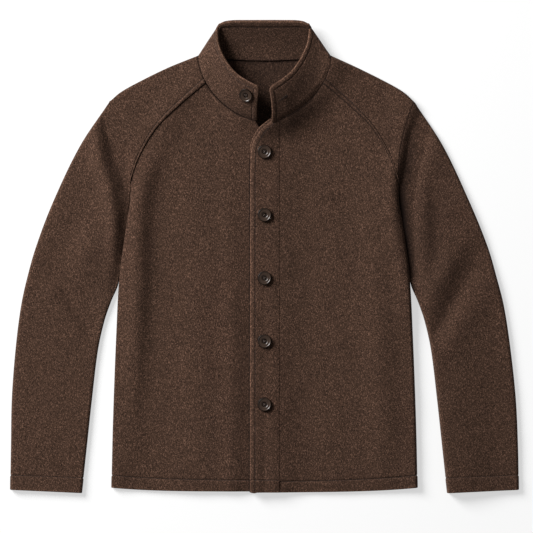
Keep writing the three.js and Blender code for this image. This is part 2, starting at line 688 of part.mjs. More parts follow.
// The collar button lies on the right end of the collar, square to it.
const COLLAR_BUTTON = { around: -0.915, up: 0.62 };
const collarButton = add('button_collar', buttonGeometry(), horn());
const seatNormal = collarNormal(COLLAR_BUTTON.around, COLLAR_BUTTON.up);
collarButton.position.fromArray(collarOutside(COLLAR_BUTTON.around, COLLAR_BUTTON.up));
collarButton.position.addScaledVector(seatNormal, SEAM);
collarButton.quaternion.setFromUnitVectors(new THREE.Vector3(0, 0, 1), seatNormal);

export default cardigan;
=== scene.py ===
"""A boiled-wool cardigan jacket with a stand collar, laid flat on its back and buttoned left over right.

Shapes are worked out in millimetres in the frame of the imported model, and become metres as a mesh is made.
x is positive towards the wearer's left, y towards the collar, and z is up from the surface.
"""

import math

import bpy
import numpy as np
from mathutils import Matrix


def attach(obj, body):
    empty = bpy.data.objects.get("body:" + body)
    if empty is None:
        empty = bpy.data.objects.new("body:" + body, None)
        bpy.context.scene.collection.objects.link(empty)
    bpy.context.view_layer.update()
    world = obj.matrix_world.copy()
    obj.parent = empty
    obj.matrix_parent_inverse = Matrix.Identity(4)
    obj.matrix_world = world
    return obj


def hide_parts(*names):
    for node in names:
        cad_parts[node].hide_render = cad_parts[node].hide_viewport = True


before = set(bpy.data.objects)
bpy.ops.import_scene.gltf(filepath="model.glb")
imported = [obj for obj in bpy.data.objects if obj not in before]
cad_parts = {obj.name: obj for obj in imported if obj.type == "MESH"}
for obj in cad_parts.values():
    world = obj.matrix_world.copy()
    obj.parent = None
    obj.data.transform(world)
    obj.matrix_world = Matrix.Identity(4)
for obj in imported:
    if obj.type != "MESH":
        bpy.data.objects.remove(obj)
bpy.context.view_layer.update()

# ---------------------------------------------------------------------------------------- back panel
# One panel of boiled wool, cut from side seam to side seam. Its hem is turned up and stitched through.
# It lies flat on the surface, and both of its sides curl up to meet the fronts halfway up the side folds.

WALL = 2.4  # one thickness of boiled wool
SEAM = 0.3  # between pieces at a seam
LAYER_GAP = 0.8  # between the back and the front lying on it
LOW_TOP = 2 * WALL + LAYER_GAP  # outside of the front where it lies flat on the back
OVERLAP = WALL + 0.4  # how much the left front is lifted by the right front's edge
LIFT_WIDTH = 55  # the left front comes down from that edge over this width
FOLD_RADIUS = 5  # plan width of the rounded edge where the cloth turns over
BAND_HALF = 23.5  # button band, centre to edge and centre to seam

PANEL_LENGTH = 690  # hem to neck point
HEM_Y, HEM_HALF, HEM_LIFT = -376, 245, 6
HEM_DEPTH = 20  # turned hem, stitched along its top
HEM_RISE = 0.8  # how much the turned hem stands over the panel
NECK_HALF, NECK_TOP_Y = 106.5, 320.8  # neck point
NECK_DEPTH, NECK_ROUND = 105, 1.78  # front neckline
BACK_NECK_DROP = 7.7
BACK_RAGLAN_X = 75  # back raglan seam meets the back neckline here
ARMPIT = 0.71  # share of the panel's length at the armpit
BELOW_ARMPIT, ABOVE_ARMPIT = 0.012, 0.03  # the side fold opens out between these

# Side fold of the body, hem to armpit, and raglan seam, armpit to neckline: x, y.
SIDE_FOLD = [(245, -370), (242.5, -262), (237, -118), (232, -30), (221.5, 50), (215.2, 88), (214.4, 119)]
RAGLAN = [(214.4, 119), (201.5, 157), (174.5, 203), (140, 238), (93.8, 277.3)]

# Soft rolls of the front layer, the same on both sides: path, rise along it, width.
ROLLS = [
    ([(215, 135), (221, 50), (233, -60)], (5, 3.2), 34),  # side, upper
    ([(235, -90), (245, -372)], (2.4, 2.4), 26),  # side, lower
    ([(104, 322), (160, 297), (236, 255)], (7.2, 2.6), 26),  # shoulder
    ([(104, 300), (80, 262), (40, 228), (0, 216)], (3, 3), 20),  # neckline
    ([(262, 165), (300, 70), (330, -70), (348, -376)], (2, 3), 62),  # sleeve crown
    ([(330, 88), (392, -110), (404, -376)], (1.6, 2), 26),  # sleeve, outer
    ([(262, -120), (280, -250), (292, -376)], (1.6, 2), 26),  # sleeve, inner
]

# Folds and creases that differ from side to side: side (1 is the wearer's left), path, rise, width.
FOLDS = [
    (-1, [(255, 226), (254, 190), (242, 120), (226, 52)], (-1.2, -1.4), 15),
    (1, [(240, 215), (240, 176), (222, 120), (226, 52)], (-1.6, -2.2), 15),
    (1, [(330, 0), (300, -70), (277, -122)], (-1.2, -2), 17),
    (1, [(300, 0), (262, -84)], (1, 1.6), 16),
    (-1, [(318, 6), (272, -112)], (-0.8, -1.4), 20),
]

RIM_STEPS = np.array([0, 0.05, 0.2, 0.5, 0.85, 1.3])  # places across a rounded rim
GROOVE_STEPS = np.array([-2.4, -1.5, -0.9, -0.4, 0, 0.4, 0.9, 1.5, 2.4])  # places across a stitched groove
GROOVE_DEPTH = 0.85
JOINED = 0.22  # how far each edge runs on at a seam, to close it
NECK_SHADE = 0.55  # painted shade on the wool inside the neck, where the collar shades it
FOLD_SEAM = 0.9  # share of the half wall left where the seam is out of sight in the side fold
DEEP_SEAM, SOFT_SEAM = 0.2, 0.8  # share of the half wall left at the very edge of other seams
SEAM_CHANGE = 0.004  # the first has given way to the second this share above the armpit
WORN_AND_HIGHLIT_WIDTH, SUNK_WIDTH = 1.4, 1.3  # free edges lightened, wear and painted highlight, and seams given painted shade, over this width
SEAM_DARK, GROOVE_DARK = 1.2, 0.6  # how much painted shade darkens a seam and a stitched groove
BACK_PITCH, FRONT_PITCH = 4.0, 3.0  # widest spacing of a panel's rows
FOLD_TURNS = np.linspace(0, 1, 12) ** 1.3 * (math.pi / 2)  # places round a quarter fold

# Boiled wool: the felt, its two kinds of fibre, the gain of a free edge for wear and a painted highlight,
# and the colour of painted shade in seams, grooves and other shaded places.
WOOL_BASE = (0.0412, 0.0218, 0.0138, 1)
WOOL_LIGHT = (0.143, 0.078, 0.053, 1)
WOOL_DARK = (0.0076, 0.0038, 0.0025, 1)
WORN_AND_HIGHLIT_GAIN = (2.5, 2.45, 2.4, 1)
WOOL_PAINTED_SHADE = (0.007, 0.0036, 0.0025, 1)
WORN_AND_HIGHLIT_SHARE, SHADED_SHARE = 0.62, 0.72  # how much of these two shows at 1, wear and painted highlight, and at -1, painted shade


def smooth(value, low, high):
    """0 at low, 1 at high, and 3 t^2 - 2 t^3 of the share t between."""
    t = np.clip((value - low) / (high - low), 0, 1)
    return t * t * (3 - 2 * t)


def mix(a, b, t):
    return a + (b - a) * t


def through(table):
    """Smooth curve through the rows of a table. Between two rows it is the cubic that meets both of them
    at the slope of the chord between their neighbours, and t from 0 to 1 counts length over the chords."""
    rows = np.array(table, float)
    last = len(rows) - 1
    knots = np.r_[0, np.linalg.norm(np.diff(rows, axis=0), axis=1).cumsum()]
    before = np.maximum(np.arange(last + 1) - 1, 0)
    after = np.minimum(np.arange(last + 1) + 1, last)
    slopes = (rows[after] - rows[before]) / (knots[after] - knots[before])[:, None]

    def curve(t):
        at = np.clip(np.asarray(t, float), 0, 1) * knots[-1]
        i = np.clip(np.searchsorted(knots, at) - 1, 0, last - 1)
        span = (knots[i + 1] - knots[i])[..., None]
        s = (at - knots[i])[..., None] / span
        start = rows[i] * (1 + 2 * s) * (1 - s) ** 2 + slopes[i] * span * s * (1 - s) ** 2
        end = rows[i + 1] * s * s * (3 - 2 * s) + slopes[i + 1] * span * s * s * (s - 1)
        return start + end

    return curve


def roll_height(path, rise, width, x, y):
    """Height of one soft roll over points: its rise at the nearest place on its path, times a bell of
    the distance over the width."""
    line = through(path)(np.linspace(0, 1, 25))
    nearest = np.full(np.shape(x), np.inf)
    share = np.zeros(np.shape(x))
    for i, (a, b) in enumerate(zip(line[:-1], line[1:])):
        run = b - a
        s = np.clip(((x - a[0]) * run[0] + (y - a[1]) * run[1]) / (run @ run), 0, 1)
        away = np.hypot(x - a[0] - s * run[0], y - a[1] - s * run[1])
        share = np.where(away < nearest, (i + s) / 24, share)
        nearest = np.minimum(away, nearest)
    risen = np.interp(share, np.linspace(0, 1, len(rise)), rise)
    return risen * np.exp(-((nearest / width) ** 2))


def front_top(x, y, side, lifted=False):
    """Height of the front layer's outside: the flat height, the rolls, this side's folds and, on the left
    front, the lift over the right front's edge."""
    top = np.full(np.shape(x), float(LOW_TOP))
    for path, rise, width in ROLLS:
        top += roll_height(path, rise, width, x, y)
    for on_side, path, rise, width in FOLDS:
        if on_side == side:
            top += roll_height(path, rise, width, x, y)
    if lifted:
        top += OVERLAP * (1 - smooth(x, BAND_HALF, BAND_HALF + LIFT_WIDTH))
    return np.maximum(top, LOW_TOP)


def ripple(x, y, seed, depth=0.22):
    """Slight unevenness of pressed felt: the sum of eleven sine waves, 22 to 90 mm long, in seeded
    directions."""
    draw = np.random.default_rng(seed)
    height = 0 * x + 0 * y
    for wave in np.linspace(22, 90, 11):
        turn, phase = draw.uniform(0, 2 * math.pi, 2)
        way = x * math.cos(turn) + y * math.sin(turn)
        height += (wave / 90) ** 0.7 * np.sin(way * 2 * math.pi / wave + phase)
    return depth * height / 2.4


def front_neck(t):
    """Front neckline from the centre (0) to the neck point (1), a rounded ellipse."""
    angle = np.clip(t, 0, 1) * math.pi / 2
    out = np.sin(angle) ** (2 / NECK_ROUND)
    down = np.abs(np.cos(angle)) ** (2 / NECK_ROUND)
    return np.stack([NECK_HALF * out, NECK_TOP_Y - NECK_DEPTH * down], axis=-1)


def neck_share(x):
    """Share of the front neckline at which it reaches x."""
    return math.asin((x / NECK_HALF) ** (NECK_ROUND / 2)) * 2 / math.pi


def back_neck(x):
    """Back neckline, a shallow curve: the drop grows with 1 less the square of x over the neck point's."""
    x = np.asarray(x, float)
    return np.stack([x, NECK_TOP_Y - BACK_NECK_DROP * (1 - (x / NECK_HALF) ** 2)], axis=-1)


def hem_line(x):
    x = np.asarray(x, float)
    return np.stack([x, HEM_Y + HEM_LIFT * (x / HEM_HALF) ** 4], axis=-1)


def hem_rise(v):
    """Rise of the turned hem: full below its stitching and gone just above it."""
    return HEM_RISE * (1 - smooth(v * PANEL_LENGTH, HEM_DEPTH - 0.9, HEM_DEPTH + 1.4))


def inside_edges(u, v, bottom, top, start, end):
    """Points inside four edges: the rulings between each pair of edges, added, less the corners' (a Coons
    patch). u runs along bottom and top, v along start and end."""
    across, up = np.asarray(u, float)[..., None], np.asarray(v, float)[..., None]
    ruled_up = mix(bottom(u), top(u), up)
    ruled_across = mix(start(v), end(v), across)
    corners = mix(mix(bottom(0.0), bottom(1.0), across), mix(top(0.0), top(1.0), across), up)
    return ruled_up + ruled_across - corners


side_fold, raglan = through(SIDE_FOLD), through(RAGLAN)


def back_raglan(t):
    """Back raglan seam: the front one, drawn out with the square of t to end on the back neckline."""
    t = np.asarray(t, float)[..., None]
    return raglan(t[..., 0]) + (back_neck(BACK_RAGLAN_X) - raglan(1.0)) * t * t


def panel_edge(seam):
    """Outer edge of a body panel: the side fold up to the armpit, then a raglan seam."""

    def edge(v):
        v = np.asarray(v, float)
        above = seam((v - ARMPIT) / (1 - ARMPIT))
        return np.where((v < ARMPIT)[..., None], side_fold(v / ARMPIT), above)

    return edge


def ruled(length, pitch, lines=()):
    """Places along a length: close together at its ends, for the rounded rims, and about each stitch line,
    for its groove, and no more than pitch apart elsewhere."""
    about_lines = [line + GROOVE_STEPS for line in lines]
    marks = np.unique(np.concatenate([RIM_STEPS, length - RIM_STEPS, *about_lines]))
    spans = [
        np.linspace(a, b, max(math.ceil((b - a) / pitch), 1), endpoint=False)
        for a, b in zip(marks[:-1], marks[1:])
    ]
    return np.concatenate([*spans, [length]])


def over_width(width, near, far, count):
    """Ways in across a piece of changing width, a row for each width: the places near, then count equal
    steps, then the places far, which are counted back from the other edge."""
    steps = np.linspace(0, 1, count + 1)[1:-1]
    start, end = near[..., -1:], far[..., :1]
    middle = start + (width - end - start) * steps
    near, far = (np.broadcast_to(part, (len(width), part.shape[-1])) for part in (near, width - far))
    return np.concatenate([near, middle, far], axis=1)


def welt(way, line, swell):
    """Swelling of the outside between an edge and its stitching: half a sine wave, as press."""
    return -swell * np.sin(np.clip(way / line, 0, 1) * math.pi)


def groove(way, line):
    """Depth pressed into the cloth by a row of stitches: a narrow bell about its line."""
    return GROOVE_DEPTH * np.exp(-(((way - line) / 1.0) ** 2))


def grid_normals(points, ring=False):
    """Unit normals of a grid: the slope down its rows crossed with the slope along them."""
    down = np.gradient(points, axis=0)
    along = np.roll(points, -1, 1) - np.roll(points, 1, 1) if ring else np.gradient(points, axis=1)
    normal = np.cross(down, along)
    return normal / np.linalg.norm(normal, axis=2, keepdims=True)


def ways_in(points, ring=False):
    """Distances over the cloth from the first row, the last row, the first column and the last column."""
    down = np.pad(np.linalg.norm(np.diff(points, axis=0), axis=2).cumsum(0), ((1, 0), (0, 0)))
    if ring:
        far = np.full(down.shape, 1000.0)
        return down, down[-1] - down, far, far
    along = np.pad(np.linalg.norm(np.diff(points, axis=1), axis=2).cumsum(1), ((0, 0), (1, 0)))
    return down, down[-1] - down, along, along[:, -1:] - along


def grid_quads(index, ring=False):
    if ring:
        index = np.concatenate([index, index[:, :1]], axis=1)
    corners = index[:-1, :-1], index[:-1, 1:], index[1:, 1:], index[1:, :-1]
    return np.stack(corners, axis=-1).reshape(-1, 4)


def cloth_wall(middle, thick, facing, press, rims, shades, ring=False):
    """Closed wall of cloth about a grid of middle points. Each skin is half the thickness away along the
    grid's normal, times the root of 1 - (1 - w)^2, w being the way in from a rim over half the thickness,
    so that the rims are round. rims gives what is left of that at each of the four edges: 0 on a free edge,
    and more on a seam, whose face is then upright. facing is the side of the grid that is outside, and
    press sinks the outside. Returns points, quads, tone, the outside and its normals. The tone is 1 on a
    free edge, where it stands for wear and a painted highlight, and negative for painted shade in seams and
    stitched grooves, less the painted shade and light given for the outside and the inside."""
    count, wide = middle.shape[:2]
    normal = facing * grid_normals(middle, ring)
    half = np.broadcast_to(np.asarray(thick, float) / 2, (count, wide))
    ways = ways_in(middle, ring)
    full = np.ones((count, wide))
    for left, way in zip(rims, ways):
        full *= mix(left, 1, np.sqrt(1 - (1 - np.clip(way / half, 0, 1)) ** 2)) * (way > 1e-6)
    edges = [(np.asarray(left), way) for left, way in zip(rims, ways)]
    # Tone: free edges lightened for wear and a painted highlight; seams and stitched grooves get painted
    # shade.
    worn_and_highlit = [(left == 0) * np.exp(-((way / WORN_AND_HIGHLIT_WIDTH) ** 2)) for left, way in edges]
    sunk = [(left > 0) * (1 - left) * np.exp(-((way / SUNK_WIDTH) ** 2)) for left, way in edges]
    wear_and_painted_light = np.max(worn_and_highlit, axis=0) - SEAM_DARK * np.max(sunk, axis=0) - GROOVE_DARK * np.clip(press, 0, 1)
    offset = (half * full)[..., None] * normal
    outside = middle + offset - (press * full)[..., None] * normal
    inside = middle - offset
    outer = np.arange(count * wide).reshape(count, wide)
    inner = outer + count * wide
    inner[0], inner[-1] = outer[0], outer[-1]
    if not ring:
        inner[:, 0], inner[:, -1] = outer[:, 0], outer[:, -1]
    quads = np.concatenate([grid_quads(outer, ring), grid_quads(inner, ring)[:, ::-1]])
    points = np.concatenate([outside.reshape(-1, 3), inside.reshape(-1, 3)])
    used, quads = np.unique(quads, return_inverse=True)
    points, quads = points[used], quads.reshape(-1, 4)
    a, b, c, d = (points[quads[:, k]] for k in range(4))
    if np.einsum("ij,ij->", a, np.cross(b, c) + np.cross(c, d)) < 0:
        quads = quads[:, ::-1]
    wear_and_painted_light = np.concatenate([(wear_and_painted_light - shade).ravel() for shade in shades])[used]
    return points, quads, wear_and_painted_light, outside, normal


def add_mesh(name, parts, material):
    """One object from parts of points, faces and tone (wear with painted light and shade), in millimetres,
    riding on the part's body.
    """
    mesh = bpy.data.meshes.new(name)
    counts = np.cumsum([0] + [len(part[0]) for part in parts])
    faces = [face for shift, part in zip(counts, parts) for face in (part[1] + shift).tolist()]
    mesh.from_pydata((np.concatenate([part[0] for part in parts]) * 0.001).tolist(), [], faces)
    wear_and_painted_light = mesh.attributes.new("wear_and_painted_light", "FLOAT", "POINT")
    wear_and_painted_light.data.foreach_set("value", np.concatenate([part[2] for part in parts]).astype(np.float32))
    mesh.shade_smooth()
    mesh.materials.append(material)
    piece = bpy.data.objects.new(name, mesh)
    bpy.context.scene.collection.objects.link(piece)
    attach(piece, "root")
    return piece


def add_node(tree, kind, settings=None, **inputs):
    """A shader node with its settings, and its inputs by name: a value, or another node's output. A name's
    underscore stands for a space."""
    node = tree.nodes.new(kind)
    for key, value in (settings or {}).items():
        setattr(node, key, value)
    for key, value in inputs.items():
        socket = node.inputs[key.replace("_", " ")]
        if isinstance(value, bpy.types.NodeSocket):
            tree.links.new(value, socket)
        else:
            socket.default_value = value
    return node


def new_group(name, inputs, outputs):
    """An empty node group with sockets by name and kind, and its two ends."""
    tree = bpy.data.node_groups.new(name, "ShaderNodeTree")
    for in_out, sockets in (("INPUT", inputs), ("OUTPUT", outputs)):
        for socket, kind in sockets.items():
            tree.interface.new_socket(socket, in_out=in_out, socket_type=f"NodeSocket{kind}")
    return tree, tree.nodes.new("NodeGroupInput"), tree.nodes.new("NodeGroupOutput")


def mixed(tree, factor, a, b, blend="MIX"):
    """Output of a colour mix of a and b."""
    node = tree.nodes.new("ShaderNodeMix")
    node.data_type, node.blend_type = "RGBA", blend
    for index, value in ((0, factor), (6, a), (7, b)):
        if isinstance(value, bpy.types.NodeSocket):
            tree.links.new(value, node.inputs[index])
        else:
            node.inputs[index].default_value = value
    return node.outputs[2]


def scaled(tree, value, factor):
    """Output of a value times a number."""
    node = add_node(tree, "ShaderNodeMath", {"operation": "MULTIPLY"})
    tree.links.new(value, node.inputs[0])
    node.inputs[1].default_value = factor
    return node.outputs[0]


def new_material(name):
    """A material with nothing in its tree, and the tree."""
    material = bpy.data.materials.new(name)
    material.use_nodes = True
    material.node_tree.nodes.clear()
    return material, material.node_tree


def show(tree, surface):
    """Gives the material this surface."""
    out = tree.nodes.new("ShaderNodeOutputMaterial")
    tree.links.new(surface.outputs[0], out.inputs["Surface"])


def heathered_felt():
    """Group for the look of felted heather wool, on object coordinates: tufts of light and dark fibre about
    3 mm across, short hairs lying two ways, and cloudy mottling 25 mm across. Height is tufts and hairs."""
    tree, ends, out = new_group(
        "heathered felt",
        {"Base": "Color", "Light fibre": "Color", "Dark fibre": "Color"},
        {"Colour": "Color", "Height": "Float"},
    )
    place = tree.nodes.new("ShaderNodeTexCoord").outputs["Object"]

    def noise(scale, detail, shift=(0, 0, 0), turn=0.0, squash=1.0):
        mapping = add_node(
            tree, "ShaderNodeMapping", Vector=place, Location=shift,
            Rotation=(0, 0, math.radians(turn)), Scale=(1, squash, 1),
        )
        settings = {"noise_dimensions": "3D"}
        made = add_node(
            tree, "ShaderNodeTexNoise", settings, Vector=mapping.outputs[0], Scale=scale, Detail=detail,
            Roughness=0.6,
        )
        return made.outputs["Fac"]

    def band(value, low, high, strength=1.0):
        node = add_node(tree, "ShaderNodeMapRange", {"interpolation_type": "SMOOTHSTEP"}, Value=value)
        for key, number in (("From Min", low), ("From Max", high), ("To Max", strength)):
            node.inputs[key].default_value = number
        return node.outputs["Result"]

    def weighed(a, weight_a, b, weight_b):
        first = scaled(tree, a, weight_a)
        total = add_node(tree, "ShaderNodeMath", {"operation": "MULTIPLY_ADD"})
        tree.links.new(b, total.inputs[0])
        total.inputs[1].default_value = weight_b
        tree.links.new(first, total.inputs[2])
        return total.outputs[0]

    tufts = noise(620, 2)
    hairs = noise(960, 1.5, (0.3, 0.1, 0), 34, 0.3)
    cross_hairs = noise(960, 1.5, (0.7, 0.4, 0), -52, 0.3)
    hollows = noise(660, 2, (1.3, 2.1, 0.4))
    light = band(weighed(tufts, 0.55, hairs, 0.45), 0.5, 0.61, 0.92)
    dark = band(weighed(hollows, 0.55, cross_hairs, 0.45), 0.5, 0.62, 0.92)
    colour = mixed(tree, light, ends.outputs["Base"], ends.outputs["Light fibre"])
    colour = mixed(tree, dark, colour, ends.outputs["Dark fibre"])
    cloudy = band(noise(40, 2, (3, 1, 2)), 0.3, 0.7)
    mottling = mixed(tree, cloudy, (0.96, 0.96, 0.965, 1), (1.04, 1.035, 1.03, 1))
    colour = mixed(tree, 1.0, colour, mottling, "MULTIPLY")
    tree.links.new(colour, out.inputs["Colour"])
    tree.links.new(weighed(tufts, 0.6, weighed(hairs, 0.5, cross_hairs, 0.5), 0.4), out.inputs["Height"])
    return tree


def wool_material():
    """Boiled wool: heathered felt under a soft sheen of standing fibre, lighter where free edges are worn and
    given a painted highlight, and darker where painted shade is laid: deep in seams and grooves, inside the
    neck and in other shaded places."""
    material, tree = new_material("boiled wool")
    felt = tree.nodes.new("ShaderNodeGroup")
    felt.node_tree = heathered_felt()
    felt.inputs["Base"].default_value = WOOL_BASE
    felt.inputs["Light fibre"].default_value = WOOL_LIGHT
    felt.inputs["Dark fibre"].default_value = WOOL_DARK
    wear_and_painted_light = add_node(tree, "ShaderNodeAttribute", {"attribute_name": "wear_and_painted_light"})
    # Free edges lightened, for wear and a painted highlight.
    worn_and_highlit = scaled(tree, wear_and_painted_light.outputs["Fac"], WORN_AND_HIGHLIT_SHARE)
    bright = mixed(tree, 1.0, felt.outputs["Colour"], WORN_AND_HIGHLIT_GAIN, "MULTIPLY")
    colour = mixed(tree, worn_and_highlit, felt.outputs["Colour"], bright)
    # Painted shade in seams, grooves and shaded places, towards a near-black brown.
    sunk = scaled(tree, wear_and_painted_light.outputs["Fac"], -SHADED_SHARE)
    colour = mixed(tree, sunk, colour, WOOL_PAINTED_SHADE)
    bump = add_node(tree, "ShaderNodeBump", Strength=0.7, Distance=0.0006, Height=felt.outputs["Height"])
    surface = add_node(tree, "ShaderNodeBsdfPrincipled", Base_Color=colour, Normal=bump.outputs[0])
    surface.inputs["Roughness"].default_value = 0.95
    surface.inputs["Specular IOR Level"].default_value = 0.1
    surface.inputs["Sheen Weight"].default_value = 0.05
    surface.inputs["Sheen Roughness"].default_value = 0.5
    surface.inputs["Sheen Tint"].default_value = (1.0, 0.72, 0.58, 1)
    show(tree, surface)
    return material


wool = wool_material()


def panel_rows(pitch):
    return ruled(PANEL_LENGTH, pitch, [HEM_DEPTH]) / PANEL_LENGTH


def side_turn(v):
    """How far a panel's edge turns down into the side fold: 1 along the side and 0 on the raglan seam."""
    return 1 - smooth(v, ARMPIT - BELOW_ARMPIT, ARMPIT + ABOVE_ARMPIT)


def side_rim(v):
    """Share of the half wall left at a panel's outer edge: nearly all in the side fold, little above it."""
    return mix(FOLD_SEAM, DEEP_SEAM, smooth(v, ARMPIT - BELOW_ARMPIT, ARMPIT + SEAM_CHANGE))


def fold_in(inset):
    """Ways in round a quarter fold whose middle starts this far in: its radius times 1 less the cosine."""
    return inset + (FOLD_RADIUS - inset) * (1 - np.cos(FOLD_TURNS))


def back_panel():
    """Middle of the back: half a wall up from the surface, and round both side folds in quarter ellipses."""
    v = panel_rows(BACK_PITCH)[:, None]
    edge = panel_edge(back_raglan)(v)
    half_width = edge[..., 0]
    turned = side_turn(v)
    fold = fold_in(WALL / 2 * turned)
    ways = over_width(2 * half_width, fold, fold[:, ::-1], 118)
    point = inside_edges(
        ways / (2 * half_width), v,
        bottom=lambda u: hem_line(mix(-HEM_HALF, HEM_HALF, u)),
        top=lambda u: back_neck(mix(-BACK_RAGLAN_X, BACK_RAGLAN_X, u)),
        start=lambda v: panel_edge(back_raglan)(v) * (-1, 1),
        end=panel_edge(back_raglan),
    )
    count = len(FOLD_TURNS)
    rise = np.ones(ways.shape[1])
    rise[:count], rise[-count:] = np.sin(FOLD_TURNS), np.sin(FOLD_TURNS)[::-1]
    middle_right, middle_left = (
        front_top(edge[..., 0], edge[..., 1], side) / 2 - SEAM / 2 for side in (-1, 1)
    )
    middle = np.where(np.arange(ways.shape[1]) < ways.shape[1] // 2, middle_right, middle_left)
    lying = WALL / 2 + np.maximum(ripple(point[..., 0], point[..., 1], 3, 0.3), 0)
    z = mix(mix(lying, middle, turned), lying, rise)
    press = groove(v * PANEL_LENGTH, HEM_DEPTH) * np.ones_like(z)
    # painted shade on the inside of the back within the neck
    in_neck = 1.25 * NECK_SHADE * (np.abs(point[..., 0]) < NECK_HALF) * (point[..., 1] > 190)
    rims = (0, DEEP_SEAM, side_rim(v), side_rim(v))
    return cloth_wall(np.dstack([point, z]), WALL, 1, press, rims, shades=(0, in_neck))


back_wall = back_panel()
back = add_mesh("back_cloth", [back_wall[:3]], wool)
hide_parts("back")

# -------------------------------------------------------------------------------------------- fronts
# Two panels of the same wool. The right one ends in a plain edge that is hidden under the button band, and
# the left one is sewn to the band. Each is sewn to the back along its side and to a shoulder piece above.

RIGHT_HEM_LIFT = 1.6  # the right front hangs this much shorter than the left
HEM_GROOVE = 1.5  # how much deeper the front hems' stitching is pressed in than the back's

# Front edge of the button band, neckline to hem: x, y.
BAND_EDGE = [(12, 217), (2.4, 209.6), (-7.2, 201), (-18.4, 182), (-22.2, 160), (-23, 92), (-BAND_HALF, -376)]
band_edge = through(BAND_EDGE)

# The right front's own edge under the band, which shows at the throat: x towards the right, y.
HIDDEN_EDGE = [
    (14.5, 217.2), (12.5, 213), (6.4, 204.6), (-4, 194), (-18.4, 176), (-22.2, 158), (-23, 92),
    (-BAND_HALF, -376),
]
hidden_edge = through(HIDDEN_EDGE)

# Swells and hollows of the front layer, over fronts, shoulders and sleeves: side (0 is both), path, rise at
# equal steps along it, width.
CREASES = [
    (-1, [(152, 208), (183, 146), (198, 90), (202, -54), (209, -230), (213, -340)],
     (2, 6.4, 8.6, 7.4, 3.4, 0.5), 18),
    (1, [(150, 205), (172, 142), (180, 90), (184, -54), (190, -230), (194, -340)],
     (0.8, 3.4, 6, 7.6, 8, 5), 31),
    (-1, [(215, 112), (222, 50), (232, -30), (237, -118), (243, -340)], (-2.6, -2.6, -2.2, -1.4, -1), 10),
    (1, [(232, 214), (221, 168), (210, 118), (213, 60), (222, -30), (230, -118)],
     (1.5, 4.4, 6, 6, 4.4, 1), 14),
    (-1, [(112, 186), (108, 60), (102, -120), (106, -356)], (1.2, 3.6, 5.4, 4.6), 42),
    (-1, [(58, 170), (54, 60), (51, -120), (51, -362)], (1, 2.8, 4.4, 4.6), 20),
    (1, [(110, 176), (124, 20), (132, -160), (120, -340)], (0.6, 1.8, 2.4, 2), 46),
    (1, [(14, 150), (16, 20), (17, -140), (18, -362)], (1, 1.6, 2.6, 3.4), 24),
    (0, [(98, 284), (140, 248), (184, 204)], (3.6, 4.2, 2.6), 24),
    (-1, [(112, 318), (160, 297), (226, 262)], (-4, -3.2, -1), 20),
    (1, [(112, 318), (160, 297), (226, 262)], (0, -3.4, -1), 20),
    (1, [(243, 248), (230, 206), (222, 168)], (4.5, 5, 3), 30),
    (-1, [(92, 278), (66, 246), (36, 222), (0, 214)], (0, 3.4, 5, 3), 19),
    (1, [(106, 300), (94, 278), (70, 251), (41, 232), (4, 218)], (4, 6, 11, 15, 11), 28),
    (-1, [(251, 250), (238, 194), (229, 148), (219, 112)], (-2.4, -5.4, -6.4, -6), 14),
    (1, [(262, 240), (247, 200), (237, 165), (229, 120), (227, 90), (228, 40), (233, -26)],
     (-4, -9, -11, -11, -9, -7, -3), 18),
    (1, [(268, 124), (274, 42), (270, -20)], (-1.5, -3.2, -1.5), 13),
    (-1, [(271, 228), (268, 188), (262, 150), (250, 112), (243, 76), (241, 20), (244, -20)],
     (3, 8.4, 10, 10, 8.6, 6, 2), 13.5),
    (1, [(276, 228), (275, 188), (270, 150), (262, 112), (258, 76), (256, 20), (256, -30)],
     (0.8, 1.6, 1.8, 1.6, 1.4, 1.2, 1), 20),
    (-1, [(262, 74), (277, 12), (294, -38)], (2.2, 6, 2.2), 24),
    (-1, [(346, -14), (314, -65), (282, -104)], (-1.4, -4, -3.4), 14),
    (-1, [(338, -58), (303, -112)], (3, 2), 18),
    (1, [(358, 18), (318, -48), (276, -120)], (-1, -3.4, -3.4), 15),
    (1, [(318, 30), (300, -2), (262, -62)], (1.4, 3, 2), 17),
    (1, [(356, -50), (292, -144)], (1, 2.4), 19),
    (1, [(276, 60), (284, -60), (294, -200), (302, -376)], (3, 6.4, 9, 9), 56),
]

# Shade that the left collar lays on the cloth beside it: path, how much darker, width.
COLLAR_SHADE = ([(2, 206), (36, 216), (66, 238), (90, 268)], (0.25, 0.45, 0.4, 0.1), 15)


def creased_top(x, y, side, lifted=False):
    """Height of the front layer's outside with its swells and hollows, and the felt's unevenness."""
    top = front_top(x, y, side, lifted)
    for on_side, path, rise, width in CREASES:
        if on_side in (0, side):
            top += roll_height(path, rise, width, x, y)
    return np.maximum(top, LOW_TOP - 0.3) + ripple(side * x, y, 5)


